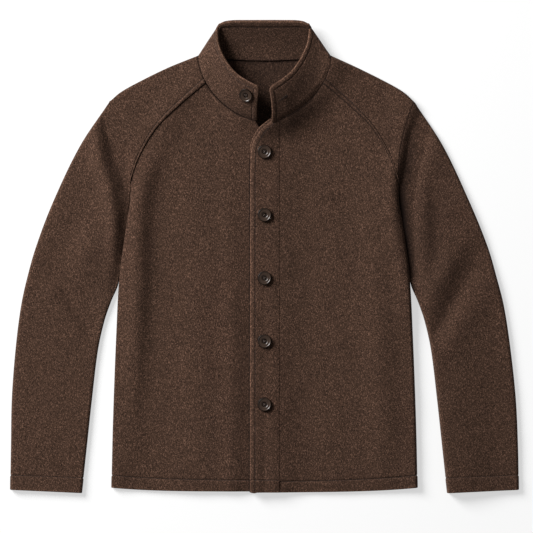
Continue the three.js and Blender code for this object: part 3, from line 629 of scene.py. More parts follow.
def front_panel(side, centre, lifted, hem_shift, count):
    """Middle of a front, from its side fold to its centre edge: half its thickness under the front layer's
    outside, and round the side fold in a quarter ellipse."""
    v = panel_rows(FRONT_PITCH)[:, None]
    edge = panel_edge(raglan)(v)
    width = np.linalg.norm(edge - centre(v), axis=-1)
    turned = side_turn(v)
    joined = RIM_STEPS[::-1] - JOINED * lifted
    ways = over_width(width, fold_in(WALL / 2 * turned) - JOINED * (1 - turned), joined, count)

    def bottom(u):
        return hem_line(mix(centre(0.0)[0], HEM_HALF, u)) + np.stack([0 * u, hem_shift * (1 - u)], axis=-1)

    point = inside_edges(
        1 - ways / width, v, bottom,
        top=lambda u: front_neck(mix(neck_share(centre(1.0)[0]), neck_share(RAGLAN[-1][0]), u)),
        start=centre,
        end=panel_edge(raglan),
    )
    x, y = point[..., 0], point[..., 1]
    thick = WALL + hem_rise(v) * np.ones_like(x)
    flat = creased_top(x, y, side, lifted) + hem_rise(v) - thick / 2
    middle = front_top(edge[..., 0], edge[..., 1], side) / 2 + SEAM / 2
    rise = np.ones(ways.shape[1])
    rise[: len(FOLD_TURNS)] = np.sin(FOLD_TURNS)
    z = mix(mix(flat, middle, turned), flat, rise)
    press = HEM_GROOVE * groove(v * PANEL_LENGTH, HEM_DEPTH) * np.ones_like(z)
    centre_rim = SOFT_SEAM if lifted else 0
    rims = (0, DEEP_SEAM, side_rim(v), centre_rim)
    shades = (roll_height(*COLLAR_SHADE, x, y) * lifted, 0)
    return cloth_wall(np.dstack([side * x, y, z]), thick, side, press, rims, shades=shades)


def band_seam(v):
    """Centre edge of the left front: straight up the band seam to the neckline."""
    v = np.asarray(v, float)
    x = BAND_HALF + SEAM
    hem, neckline = hem_line(x)[1] - RIGHT_HEM_LIFT, front_neck(neck_share(x))[1]
    return np.stack([0 * v + x, mix(hem, neckline, v)], axis=-1)


front_walls = {
    "right": front_panel(-1, lambda v: hidden_edge(1 - np.asarray(v)), False, RIGHT_HEM_LIFT, 84),
    "left": front_panel(1, band_seam, True, -RIGHT_HEM_LIFT, 70),
}
for name, flat, area in (("right", (0.275, 0.672), 0.158), ("left", (0.228, 0.672), 0.13)):
    front = add_mesh(f"front_{name}_cloth", [front_walls[name][:3]], wool)
    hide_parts(f"front_{name}")

# --------------------------------------------------------------------------------------- button band
# A straight band of the same wool, cut double, sewn to the left front and edge-stitched. Its two layers part
# a little along the curved top, where they run up into the collar seam.

BAND_LENGTH = 600
BAND_WALL = 3.4  # both layers, pressed
BAND_LAYER = 1.66  # each of them
BAND_LEAN = 1.4  # how much higher the band's free edge lies than its seam
BAND_CORNER = 4  # radius of its corner at the hem
BAND_PRESSED = 0.55  # how much thinner the upper layer is pressed at the seam
BAND_HEM_CLEAR = 0.004  # the band's hem ends this share of the length further up than the hems beside it
BAND_HEM_TOP = HEM_DEPTH * BAND_LENGTH / PANEL_LENGTH + BAND_LENGTH * BAND_HEM_CLEAR
EDGE_DROP = 1.5  # how far the pressed edge rolls down
EDGE_SHOWS = 1.7  # how much of the under layer shows beside the upper one
BAND_SHADE = 2.4  # painted shade on the under layer where it shows beside the upper one's edge
EDGE_STITCH, EDGE_WELT = 8.6, 0.9  # edge stitching, in from the free edge, and the swelling beside it
PARTED = 4.6  # how far the under layer stands out along the curved top


def band_top(x, y):
    """Height of the band's outside: it lies one overlap above the right front, and leans up to its edge."""
    lean = BAND_LEAN * smooth(-x, -BAND_HALF, BAND_HALF)
    return creased_top(np.abs(x), y, 1) + OVERLAP + BAND_WALL - WALL + lean


def band_rows():
    """Shares of the band's length at the rows of its grid, from the hem up."""
    return ruled(BAND_LENGTH, 2.6, [BAND_HEM_TOP]) / BAND_LENGTH


def band_layer(depth, stand_out, facing_press):
    """One layer of the band, from the band seam to the free edge. Its middle is the given depth and half a
    layer under the band's outside, and the under layer stands out along the curved top."""
    v = band_rows()[:, None]
    free = band_edge(1 - v)
    top_of_seam = front_neck(neck_share(BAND_HALF))[1]
    sewn = np.stack([0 * v + BAND_HALF, mix(HEM_Y - RIGHT_HEM_LIFT, top_of_seam, v)], axis=-1)
    corner = np.clip(1 - v * BAND_LENGTH / BAND_CORNER, 0, 1)
    rounded = BAND_CORNER * (1 - np.sqrt(1 - corner**2))
    free = free + np.stack([rounded, -RIGHT_HEM_LIFT * (1 - v)], axis=-1)
    width = np.linalg.norm(free - sewn, axis=-1)
    ways = over_width(width, RIM_STEPS[None] - JOINED, (EDGE_STITCH + GROOVE_STEPS)[None, ::-1], 20)
    edge_ways = ruled(EDGE_STITCH - GROOVE_STEPS[-1], 1.6)[::-1][1:]
    ways = np.concatenate([ways, width - edge_ways], axis=1)
    out = (ways / width)[..., None]
    point = mix(sewn, free, out)
    x, y = point[..., 0], point[..., 1]
    across_top = stand_out * np.array([-0.74, 0.67])
    way_out = mix(np.array([-EDGE_SHOWS, 0]), across_top, smooth(y, 158, 202)[..., None])
    point = point + way_out * smooth(out, 0.7, 1) * (stand_out > 0)
    hem = hem_rise(v - BAND_HEM_CLEAR)
    z = band_top(x, y) + 2 * hem - depth - BAND_LAYER / 2
    straight = mix(0.15, 0.55, smooth(-y, -205, -165))
    press = straight * (groove(width - ways, EDGE_STITCH) + welt(width - ways, EDGE_STITCH, EDGE_WELT))
    press = press + HEM_GROOVE * groove((v - BAND_HEM_CLEAR) * PANEL_LENGTH, HEM_DEPTH)
    pressed = BAND_PRESSED * np.exp(-((ways / 5) ** 2)) * (stand_out == 0)
    z = z - EDGE_DROP * np.exp(-(((width - ways) / 4) ** 2)) - pressed / 2
    middle = np.dstack([point[..., 0], point[..., 1], z])
    # Painted shade: on the under layer beside the upper edge, and beside the left collar.
    shade = BAND_SHADE * (stand_out > 0) * (1 - smooth(y, 150, 175)) + roll_height(*COLLAR_SHADE, x, y)
    rims = (0, SOFT_SEAM, SOFT_SEAM, 0)
    return cloth_wall(middle, BAND_LAYER - pressed, 1, press * facing_press, rims, shades=(shade, shade))


band_wall = band_layer(0, 0, 1)
under_band_wall = band_layer(BAND_WALL - BAND_LAYER, PARTED, 0)
band = add_mesh("button_band_cloth", [band_wall[:3], under_band_wall[:3]], wool)
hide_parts("button_band")

# ----------------------------------------------------------------------------------- shoulder pieces
# A saddle of wool over each shoulder, between the raglan seams and the armhole. The seam allowances are
# pressed under its raglan edges and stitched down 6.4 mm in, which leaves a raised, rounded edge.

SHOULDER_LENGTH = 165
CORNER = 0.012  # the piece's point is blunted this share short of the armpit
SEAM_RISE = {-1: 1.5, 1: 0.4}  # how much the allowances lift the edge
RAGLAN_RIM = {-1: 0.2, 1: 0.05}  # share of the half wall left at the raglan seams
RAGLAN_STITCH = 6.4
RAGLAN_GROOVE, RAGLAN_WELT = 1.3, 0.5  # how deep its groove is, and the swelling beside it in front
ARMHOLE_STEP = {-1: 0.9, 1: 0.2}  # how much the piece stands over the sleeve at their seam
ARMHOLE_RIM = {-1: 0.85, 1: 0.1}  # share of the half wall left at that seam
ARMHOLE_LIGHT = {-1: 0.55, 1: 0}  # painted highlight along its edge there
ARMHOLE_BOW = 7.5  # the armhole seam curves this much towards the body

# Shoulder fold, neck point to shoulder tip: x, y, and how much further out the right one lies.
SHOULDER = [(106.8, 320.5, 0), (152, 301.5, 3), (200, 278, 3.4), (227, 262.5, 3.8), (243.8, 247.5, 4.3)]
shoulder_fold = through(SHOULDER)


def shoulder_edge(side, s):
    """Shoulder fold on one side, with the side's own lie."""
    row = shoulder_fold(s)
    return np.stack([row[..., 0] - side * row[..., 2], row[..., 1]], axis=-1)


def armhole(side, t):
    """Armhole seam, shoulder tip (0) to armpit (1), bowed towards the body as 4 t (1 - t)."""
    t = np.asarray(t, float)[..., None]
    line = mix(shoulder_edge(side, 1.0), raglan(0.0), t)
    return line - ARMHOLE_BOW * 4 * t * (1 - t) * np.array([1.0, 0.0])


def shoulder_layer(side, seam, neck, front_layer, s, ways_from_seam, seam_count):
    """Middle of one layer of a shoulder piece, from its raglan seam to the shoulder fold, and its press."""
    edge = shoulder_edge(side, s)

    def top(r):
        return seam(mix(1.0, CORNER, np.asarray(r, float)))

    blunt = top(1.0) - armhole(side, 1 - CORNER)

    def end(t):
        t = np.asarray(t, float)
        return armhole(side, t * (1 - CORNER)) + t[..., None] * blunt

    width = np.linalg.norm(edge - top(s), axis=-1)
    fold = np.broadcast_to(fold_in(WALL / 2)[::-1], (len(s), len(FOLD_TURNS)))
    ways = width - over_width(width, ways_from_seam[None], fold, seam_count)
    point = inside_edges(
        s, ways / width,
        bottom=lambda r: shoulder_edge(side, r),
        top=top,
        start=neck,
        end=end,
    )
    x, y = point[..., 0], point[..., 1]
    from_seam = width - ways
    if front_layer:
        rise = SEAM_RISE[side] * (1 - smooth(from_seam, 4.2, 8.6))
        flat = creased_top(x, y, side) + rise - WALL / 2
    else:
        flat = np.full(x.shape, WALL / 2)
    halfway = front_top(edge[..., 0], edge[..., 1], side) / 2
    turn = np.ones(ways.shape[1])
    turn[-len(FOLD_TURNS):] = np.sin(FOLD_TURNS)[::-1]
    z = mix(halfway, flat, turn)
    swell = RAGLAN_WELT if front_layer else 0
    press = RAGLAN_GROOVE * groove(from_seam, RAGLAN_STITCH) + welt(from_seam, RAGLAN_STITCH, swell)
    return np.dstack([side * x, y, z]), press


def shoulder_piece(side):
    """The front layer from its seam to the fold, then the back layer from the fold to its seam. Also returns
    the column of its raglan stitching."""
    s = (ruled(SHOULDER_LENGTH, 2.8) / SHOULDER_LENGTH)[:, None]
    from_seam = ruled(RAGLAN_STITCH + 5, 1.3, [RAGLAN_STITCH])
    from_seam = from_seam[from_seam < RAGLAN_STITCH + 3] - JOINED * 1.4

    def neck_front(t):
        return front_neck(mix(1.0, neck_share(RAGLAN[-1][0]), np.asarray(t, float)))

    def neck_back(t):
        return back_neck(mix(NECK_HALF, BACK_RAGLAN_X, np.asarray(t, float)))

    front, front_press = shoulder_layer(side, raglan, neck_front, True, s, from_seam, 34)
    back, back_press = shoulder_layer(side, back_raglan, neck_back, False, s, from_seam, 24)
    middle = np.concatenate([front, back[:, -2::-1]], axis=1)
    press = np.concatenate([front_press, back_press[:, -2::-1]], axis=1)
    to_sleeve = ways_in(middle)[1]
    in_front = slice(0, front.shape[1])
    press[:, in_front] -= ARMHOLE_STEP[side] * np.exp(-((to_sleeve[:, in_front] / 3) ** 2))
    rims = (DEEP_SEAM, ARMHOLE_RIM[side], RAGLAN_RIM[side], RAGLAN_RIM[side])
    # painted highlight along the armhole edge
    light = -ARMHOLE_LIGHT[side] * np.exp(-((to_sleeve / WORN_AND_HIGHLIT_WIDTH) ** 2))
    wall = cloth_wall(middle, WALL, side, press, rims, shades=(light, 0))
    return wall, int(np.argmin(np.abs(from_seam - RAGLAN_STITCH)))


shoulder_walls = {}
for name, side in (("right", -1), ("left", 1)):
    shoulder_walls[name], raglan_column = shoulder_piece(side)
    shoulder = add_mesh(f"shoulder_{name}_cloth", [shoulder_walls[name][:3]], wool)
    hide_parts(f"shoulder_{name}")

# ------------------------------------------------------------------------------------------- sleeves
# Each sleeve is a tube from the armhole seam to the cuff, closed by one seam under the arm and pressed flat.
# Its cuff is turned up 20 mm and stitched through.

SLEEVE_LENGTH = 560
SLEEVE_CLEAR = -0.6  # the sleeve's inner fold is pressed this far into the body's side fold
SLEEVE_DIP = {-1: 2.4, 1: 6}  # how far the sleeve sinks beside the body
DIP_WIDTH = {-1: 13, 1: 17}  # how far in from its inner fold
ARMHOLE_GAP = 0.85  # taken up, so that the seam closes
ARMHOLE_WELT = 6, 0.5  # width and height of the ridge that the seam allowances raise on the left sleeve
CROWN = 0.12  # the armhole's bow dies away over this share
CUFF, CUFF_STEP = 0.957, 0.005  # share of the length at the top of the turned hem, and its rise
CUFF_STITCH = SLEEVE_LENGTH * (CUFF + CUFF_STEP / 2)

# Where the sleeve's wool is in deep shade beside the body, in one or two strips on each side: path, how much
# darker along it, width.
CREVICE = {
    -1: [([(252, 222), (247, 180), (240, 150), (228, 118), (219, 90), (221, 50), (231, -24)],
          (0.05, 0.1, 0.12, 0.16, 0.16, 0.12, 0.05), 9)],
    1: [([(238, 215), (234, 175), (226, 136), (219, 100), (221, 50), (231, -24)],
         (0.15, 0.7, 0.9, 1.3, 1.3, 0.9), 11),
        ([(262, 130), (258, 40), (270, -60)], (0.15, 0.38, 0.15), 36)],
}

# Sections, armhole to cuff: inner fold x, y, outer fold x, y, and how much further out the right one lies.
SLEEVE = [
    (214.8, 119, 244.1, 247.2, 4.3),
    (217.6, 69.6, 290.4, 176.8, 4.8),
    (227.2, 8.8, 333.3, 87.2, 5.1),
    (233.4, -42.4, 361.6, 15.2, 4.2),
    (245.1, -71.2, 376.3, -36, 4),
    (255.7, -101.6, 386.4, -79.2, 3.2),
    (266.4, -149.6, 395.5, -143.2, 2.4),
    (276, -228, 403.2, -226.4, 1.1),
    (284.8, -309.6, 405.8, -306.4, 0),
    (292.3, -378.6, 406.9, -373.4, 0),
]
sleeve_folds = through(SLEEVE)


def beside_body(y):
    """Where the sleeve has to stay out to, beside the body's side fold."""
    line = side_fold(np.linspace(0, 1, 200))
    return np.where(y < SIDE_FOLD[-1][1], np.interp(y, line[:, 1], line[:, 0]) + SLEEVE_CLEAR, 0)


def sleeve_rows():
    """Lengths down the sleeve at the rows of its grid."""
    return ruled(SLEEVE_LENGTH, 3.0, [CUFF_STITCH])


def sleeve(side):
    """Sleeve: over the top from inner fold to outer fold and back underneath, round quarter ellipses at both
    folds."""
    share = (sleeve_rows() / SLEEVE_LENGTH)[:, None]
    row = sleeve_folds(share)
    inner = np.stack([np.maximum(row[..., 0], beside_body(row[..., 1])), row[..., 1]], axis=-1)
    outer = np.stack([row[..., 2] - side * row[..., 4], row[..., 3]], axis=-1)
    width = np.linalg.norm(outer - inner, axis=-1)
    fold = np.broadcast_to(fold_in(WALL / 2), (len(share), len(FOLD_TURNS)))
    over = over_width(width, fold, fold[:, ::-1], 44)
    under = over_width(width, fold, fold[:, ::-1], 26)[:, -2:0:-1]
    ways = np.concatenate([over, under], axis=1)
    on_top = np.arange(ways.shape[1]) < over.shape[1]
    across = ways / width
    point = mix(inner, outer, across[..., None])
    bow = ARMHOLE_BOW * 4 * across * (1 - across) * (1 - smooth(share, 0, CROWN))
    taken_up = ARMHOLE_GAP * (1 - smooth(share, 0, CROWN))
    x = point[..., 0] - bow - taken_up * (1 - 0.45 * across**4)
    y = point[..., 1] + 0.8 * taken_up * across**4
    x = np.maximum(x, beside_body(y) + WALL / 2)
    hem = HEM_RISE * smooth(share, CUFF, CUFF + CUFF_STEP) * on_top
    thick = WALL + hem
    dip = SLEEVE_DIP[side] * np.exp(-((ways / DIP_WIDTH[side]) ** 2))
    dip = dip * smooth(share, 0.0, 0.06) * (1 - smooth(share, 0.4, 0.55))
    top = np.maximum(creased_top(x, y, side) - dip, LOW_TOP - 0.2) + hem - thick / 2
    flat = np.where(on_top, top, WALL / 2)
    inner_half = front_top(inner[..., 0], inner[..., 1], side) / 2
    outer_half = front_top(outer[..., 0], outer[..., 1], side) / 2
    halfway = np.where(across < 0.5, inner_half, outer_half)
    in_from_fold = np.minimum(ways, width - ways) - WALL / 2
    turn = np.clip(1 - in_from_fold / (FOLD_RADIUS - WALL / 2), 0, 1)
    z = mix(halfway, flat, np.sqrt(1 - turn**2))
    press = groove(share * SLEEVE_LENGTH, CUFF_STITCH) * np.ones_like(z)
    if side > 0:
        press = press + welt(share * SLEEVE_LENGTH, *ARMHOLE_WELT) * on_top
    rims = (ARMHOLE_RIM[side], 0, 0, 0)
    middle = np.dstack([side * x, y, z])
    shade = sum(roll_height(*roll, x, y) for roll in CREVICE[side])
    return cloth_wall(middle, thick, side, press, rims, ring=True, shades=(shade, 0))


sleeve_walls = {}
for name, side in (("right", -1), ("left", 1)):
    sleeve_walls[name] = sleeve(side)
    tube = add_mesh(f"sleeve_{name}_cloth", [sleeve_walls[name][:3]], wool)
    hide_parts(f"sleeve_{name}")

# -------------------------------------------------------------------------------------------- collar
# A stand collar of two layers, an outside and a facing, sewn to the neckline and edge-stitched all round. The
# back of it lies flat and the front stands up in a shallow roll that is open at the throat.

COLLAR_END_X = 12  # collar ends from the centre, at the neckline
COLLAR_SIDE_Z, COLLAR_TOP_SIDE_Z = 6.5, 17  # height of the roll at the neck point and at the top corner
COLLAR_ROLL = 8  # plan radius of that roll
COLLAR_BELLY = {-1: (-0.5, 1.5), 1: (-4, 5)}  # outward curve of each front half, at neck point and end
COLLAR_BOW = {-1: 1.9, 1: 2.6}  # how far each front end bows out between neckline and rim
COLLAR_RAISED = 6  # the front ends stand this much higher where they are left open
COLLAR_PUFF = 2  # how far the cloth swells over the seam, within a seam allowance
COLLAR_SEAM_LENGTH, COLLAR_RIM_LENGTH = 150, 122  # neck point to front end
BACK_RIM_Y = 378.4  # top edge at the centre back
BACK_LEAN = 20  # how far the back's top edge stands off the surface
NECK_SHARE = 0.42  # how far round the collar the neck points are, centre back to front end
COLLAR_START, FACING_END = 0.0, 0.985  # where the cloth starts and ends, from neckline to rim
COLLAR_HEIGHT = 58
COLLAR_CORNER = 6  # radius of the front corners
NECK_POINT_DROP = 1.6  # the rim is this much lower above the neck points
COLLAR_STITCH, COLLAR_GROOVE, COLLAR_WELT = 8.6, 0.8, 0.6
ROUND_LENGTH = 256  # length over the neckline for each unit round the collar
COLLAR_DARK, COLLAR_LIGHT = 0.22, 0.3  # shade half way up the left half, and the light below its rim

# Rim of the front on each side, top corner to front end: x, y, z.
RIGHT_RIM = [
    (71.5, 373.3, 22), (74.8, 366.6, 24), (75.7, 359.2, 26), (75.6, 350.6, 28), (74.2, 341.2, 30),
    (70.9, 330.4, 31.6), (66.1, 320, 33), (60, 309.6, 34), (53, 300, 35), (44.8, 291.6, 36),
    (34.4, 284.2, 37), (22.4, 277.4, 38), (8.3, 270.4, 39),
]
LEFT_RIM = [
    (69.5, 373.5, 19), (71.6, 367.4, 19.4), (71.8, 360.4, 19.8), (71, 352, 20.2), (69.2, 343, 20.8),
    (65.2, 332.4, 21.8), (59.6, 320, 23.4), (52.6, 308.4, 25.4), (45, 298, 28), (32, 286.2, 32.2),
    (19.4, 277.4, 35.6), (7.4, 269.6, 38),
]
collar_rims = {-1: through(RIGHT_RIM), 1: through(LEFT_RIM)}


def collar_half(side, share, up, overhang):
    """Outside of one half of the collar, share running from the centre back (0) to the front end (1)."""
    rim_curve, corner = collar_rims[side], (RIGHT_RIM if side < 0 else LEFT_RIM)[0]
    side_z = mix(COLLAR_SIDE_Z, COLLAR_TOP_SIDE_Z, up)

    t = np.clip(share / NECK_SHARE, 0, 1)
    rim = np.stack([corner[0] * t, mix(BACK_RIM_Y, corner[1], t**8)], axis=-1)
    back_point = mix(back_neck(NECK_HALF * t), rim, up[..., None])
    turn = np.minimum(mix(NECK_HALF, corner[0], up) * (1 - t) / COLLAR_ROLL, 1)
    back_z = mix(BACK_LEAN * up**1.6, side_z, 1 - np.sqrt(1 - (1 - turn) ** 2))

    t = np.clip((share - NECK_SHARE) / (1 - NECK_SHARE), 0, 1)
    sewn = front_neck(mix(1.0, neck_share(COLLAR_END_X), t))
    end = overhang * smooth(t, 0.8, 1.02) * (side > 0)
    sewn = sewn + end[..., None] * np.array([-0.2, -1])
    rim = rim_curve(t)
    front_point = mix(sewn, rim[..., :2], up[..., None])
    bowed = COLLAR_BOW[side] * smooth(t, 0.7, 1) * 4 * up * (1 - up)
    front_point = front_point + np.stack([bowed, 0 * bowed], axis=-1)
    seam_top = creased_top(sewn[..., 0], sewn[..., 1], side, side > 0) + 0.3 * end
    rim_top = rim[..., 2] + (OVERLAP * t if side > 0 else 0) + COLLAR_RAISED * t
    puff = COLLAR_PUFF * smooth(up, 0, 0.13) * (1 - up)
    top = mix(seam_top, rim_top, up) + mix(*COLLAR_BELLY[side], t) * 4 * up * (1 - up) + puff
    turn = np.minimum(mix(COLLAR_SEAM_LENGTH, COLLAR_RIM_LENGTH, up) * t / COLLAR_ROLL, 1)
    front_z = mix(side_z, top, np.sqrt(1 - (1 - turn) ** 2))

    at_back = share <= NECK_SHARE
    point = np.where(at_back[..., None], back_point, front_point)
    return np.stack([side * point[..., 0], point[..., 1], np.where(at_back, back_z, front_z)], axis=-1)


def collar_outside(around, up, overhang=0.0):
    """Outside of the collar. around runs from the wearer's right end (-1) over the centre back (0) to the
    left end (1), and up from the neckline to the rim. The back leans off the surface, and round each neck
    point it turns up, as a quarter circle, into the front, which leans from the neckline to its rim. At the
    left end the neckline overhangs the button band."""
    around, up = np.broadcast_arrays(np.asarray(around, float), np.asarray(up, float))
    halves = [collar_half(side, np.abs(around), up, overhang) for side in (-1, 1)]
    return np.where((around < 0)[..., None], *halves)


def collar_normal(around, up, overhang=0.0):
    """Outward normal of the collar's outside, from its slopes along and up."""
    step = 0.006
    around, up = np.clip(around, -0.99, 0.99), np.clip(up, 0.006, 0.99)
    along = collar_outside(around + step, up, overhang) - collar_outside(around - step, up, overhang)
    upward = collar_outside(around, up + step, overhang) - collar_outside(around, up - step, overhang)
    normal = -np.cross(along, upward)
    return normal / np.linalg.norm(normal, axis=-1, keepdims=True)


def collar_grid(low, high):
    """Places round and up the collar: close together at the rolls, the rims and the edge stitching."""
    roll = COLLAR_ROLL / ROUND_LENGTH
    turns = roll * (1 - np.cos(FOLD_TURNS))
    front_length = ROUND_LENGTH * (1 - NECK_SHARE - roll)
    front = 1 - ruled(front_length, 2.2, [COLLAR_STITCH])[::-1] / ROUND_LENGTH
    front = front[front > NECK_SHARE + roll + 0.006]
    back = np.linspace(0, NECK_SHARE - roll, 45)
    half = np.concatenate([back, (NECK_SHARE - turns)[-2::-1], (NECK_SHARE + turns)[1:], front])
    around = np.concatenate([-half[:0:-1], half])
    height = COLLAR_HEIGHT * (high - low)
    up = low + ruled(height, 2.2, [height - COLLAR_STITCH]) / COLLAR_HEIGHT
    return around[None, :], up[:, None]


def collar_layer(depth, low, high, facing, overhang, shade):
    """One layer of the collar, its middle this deep under the outside. Its front corners are rounded by
    lowering the rim there as the quarter of a circle."""
    around, up = collar_grid(low, high)
    corner = np.clip(1 - (1 - np.abs(around)) * ROUND_LENGTH / COLLAR_CORNER, 0, 1)
    drop = (1 - np.sqrt(1 - corner**2)) * COLLAR_CORNER / COLLAR_HEIGHT
    from_neck_point = (np.abs(around) - NECK_SHARE) * ROUND_LENGTH
    drop = drop + NECK_POINT_DROP / COLLAR_HEIGHT * np.exp(-((from_neck_point / 6) ** 2))
    lowered = low + (up - low) * (1 - drop)
    normal = collar_normal(around, lowered, overhang)
    sunk = depth - ripple(around * ROUND_LENGTH, up * COLLAR_HEIGHT, 21, 0.2)
    middle = collar_outside(around, lowered, overhang) - sunk[..., None] * normal
    edge_ways = (1 - np.abs(around)) * ROUND_LENGTH + 0 * up
    rim_ways = (up[-1] - up) * COLLAR_HEIGHT + 0 * around
    press = np.maximum(
        groove(edge_ways, COLLAR_STITCH) * (rim_ways > COLLAR_STITCH - 1.5),
        groove(rim_ways, COLLAR_STITCH) * (edge_ways > COLLAR_STITCH - 1.5),
    )
    press = COLLAR_GROOVE * press + welt(np.minimum(edge_ways, rim_ways), COLLAR_STITCH, COLLAR_WELT)
    left_side = smooth(around, 0.4, 0.5) * (1 - smooth(around, 0.85, 1)) * (facing > 0)
    half_way_up = COLLAR_DARK * np.exp(-(((up - 0.45) / 0.28) ** 2))
    below_rim = COLLAR_LIGHT * np.exp(-(((up - 0.9) / 0.1) ** 2))
    shade = shade + left_side * (half_way_up - below_rim)
    return cloth_wall(middle, WALL, facing, press, (DEEP_SEAM, 0, 0, 0), shades=(shade, shade))


collar_wall = collar_layer(WALL / 2, COLLAR_START, 1, 1, 4, 0)
# the facing gets a lighter painted shade inside the neck
facing_wall = collar_layer(1.5 * WALL + SEAM, COLLAR_START, FACING_END, -1, 0, NECK_SHADE * 0.4)
for name, wall in (("collar", collar_wall), ("collar_facing", facing_wall)):
    layer = add_mesh(f"{name}_cloth", [wall[:3]], wool)
    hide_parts(name)

# ------------------------------------------------------------------------------------------- buttons
# Turned four-hole buttons of dark horn, polished, with a raised rim round a shallow dish. Five close the band
# and one is left open on the right end of the collar. Each is sewn on with a cross of brown thread.

BUTTON_RADIUS, BUTTON_THICK = 11, 3.8
BUTTON_TOP_Y, BUTTON_PITCH, BUTTON_COUNT = 167.6, 101, 5
HOLE_RADIUS, HOLE_OUT, HOLE_DEPTH = 1.0, 1.8, 1.5
DISH_RADIUS = 0.36 * BUTTON_RADIUS  # flat middle of the dish
DISH_HEIGHTS = (2.05, 2.11)  # at its centre and at its edge
STRAND_RADIUS = 0.17  # thread through the holes
COLLAR_BUTTON = (-0.915, 0.62)  # round and up the collar

# Horn between its streaks and in them, and its painted shade at the edge, the holes and the middle. Thread
# between its ply marks and in them, and where it is paler, on the buttons.
HORN_COLOURS = (0.017, 0.0088, 0.005, 1), (0.046, 0.0265, 0.0165, 1), (0.003, 0.0015, 0.001, 1)
THREAD_COLOURS = (0.009, 0.005, 0.0035, 1), (0.028, 0.0155, 0.0115, 1), (0.13, 0.085, 0.066, 1)

# Button profile in shares of radius and thickness, middle of the underside to middle of the dish.
BUTTON_PROFILE = [
    (0, 0), (0.3, 0), (0.6, 0), (0.72, 0.02), (0.86, 0.18), (0.96, 0.42), (0.995, 0.58), (1, 0.7),
    (0.985, 0.84), (0.955, 0.94), (0.91, 0.995), (0.87, 1), (0.835, 0.96), (0.8, 0.87), (0.765, 0.8),
    (0.72, 0.765), (0.64, 0.755), (0.56, 0.75), (0.51, 0.73), (0.46, 0.66), (0.41, 0.585), (0.36, 0.555),
    (0, 0.54),
]


def button_shape():
    """Turned button: its profile carried round the axis, with four holes sunk in the top where the distance
    to a hole's middle is under the hole's radius. Returns points, quads, the triangles that close the middle,
    and how much painted shade, with less gloss, each point has: 1 in the holes and at the outer edge, and
    less in the middle."""
    knots = np.array(BUTTON_PROFILE)
    under, rim, dish_side = knots[1:5], through(knots[5:17])(np.linspace(0, 1, 40)), knots[17:22]
    profile = np.concatenate([under, rim, dish_side]) * (BUTTON_RADIUS, BUTTON_THICK)
    dish = np.linspace(DISH_RADIUS, 0.05, 34)[1:]
    dish_height = np.interp(dish, [0, DISH_RADIUS], DISH_HEIGHTS)
    profile = np.concatenate([profile, np.stack([dish, dish_height], axis=1)])
    turn = np.linspace(0, 2 * math.pi, 72, endpoint=False)
    out, up = profile[:, :1], profile[:, 1:]
    x, y = out * np.cos(turn), out * np.sin(turn)
    hole = np.hypot(np.abs(x) - HOLE_OUT, np.abs(y) - HOLE_OUT)
    sunk = HOLE_DEPTH * (1 - smooth(hole, HOLE_RADIUS - 0.15, HOLE_RADIUS + 0.12))
    past_rim = np.arange(len(profile))[:, None] > len(rim) // 2
    z = up - np.where(past_rim, sunk, 0)
    count, wide = x.shape
    index = np.arange(count * wide).reshape(count, wide)
    points = np.concatenate([np.dstack([x, y, z]).reshape(-1, 3), [(0, 0, 0), (0, 0, profile[-1, 1])]])
    ring = np.roll(index, -1, 1)
    foot = [(count * wide, b, a) for a, b in zip(index[0], ring[0])]
    crown = [(count * wide + 1, a, b) for a, b in zip(index[-1], ring[-1])]
    quads = grid_quads(index, ring=True)
    share = out / BUTTON_RADIUS + 0 * x
    shadowed = np.maximum(smooth(share, 0.87, 0.95), 0.75 * (1 - smooth(share, 0.33, 0.42)))
    deep = np.maximum(sunk / HOLE_DEPTH * (share < 0.5), shadowed)
    return points, quads, np.array(foot + crown), np.r_[deep.ravel(), 1, 0]


def horn_material():
    """Polished dark horn: brown-black with smoky streaks, with painted shade and less gloss at its edge, in
    its holes and in its middle.
    """
    material, tree = new_material("dark horn")
    base, streak, painted_horn_shade = HORN_COLOURS
    place = tree.nodes.new("ShaderNodeTexCoord").outputs["Object"]
    mapping = add_node(tree, "ShaderNodeMapping", Vector=place, Rotation=(0, 0, 0.6), Scale=(1, 0.25, 1))
    streaks = add_node(
        tree, "ShaderNodeTexNoise", Vector=mapping.outputs[0], Scale=420, Detail=3, Roughness=0.55,
    )
    colour = mixed(tree, streaks.outputs["Fac"], base, streak)
    deep = add_node(tree, "ShaderNodeAttribute", {"attribute_name": "deep"})
    colour = mixed(tree, deep.outputs["Fac"], colour, painted_horn_shade)
    scratches = add_node(tree, "ShaderNodeTexNoise", Vector=place, Scale=1400, Detail=2)
    rough = add_node(tree, "ShaderNodeMapRange", Value=scratches.outputs["Fac"])
    rough.inputs["To Min"].default_value, rough.inputs["To Max"].default_value = 0.27, 0.34
    surface = add_node(tree, "ShaderNodeBsdfPrincipled", Base_Color=colour, Roughness=rough.outputs["Result"])
    gloss = add_node(tree, "ShaderNodeMapRange", Value=deep.outputs["Fac"])
    gloss.inputs["To Min"].default_value, gloss.inputs["To Max"].default_value = 0.5, 0.1
    tree.links.new(gloss.outputs["Result"], surface.inputs["Specular IOR Level"])
    show(tree, surface)
    return material


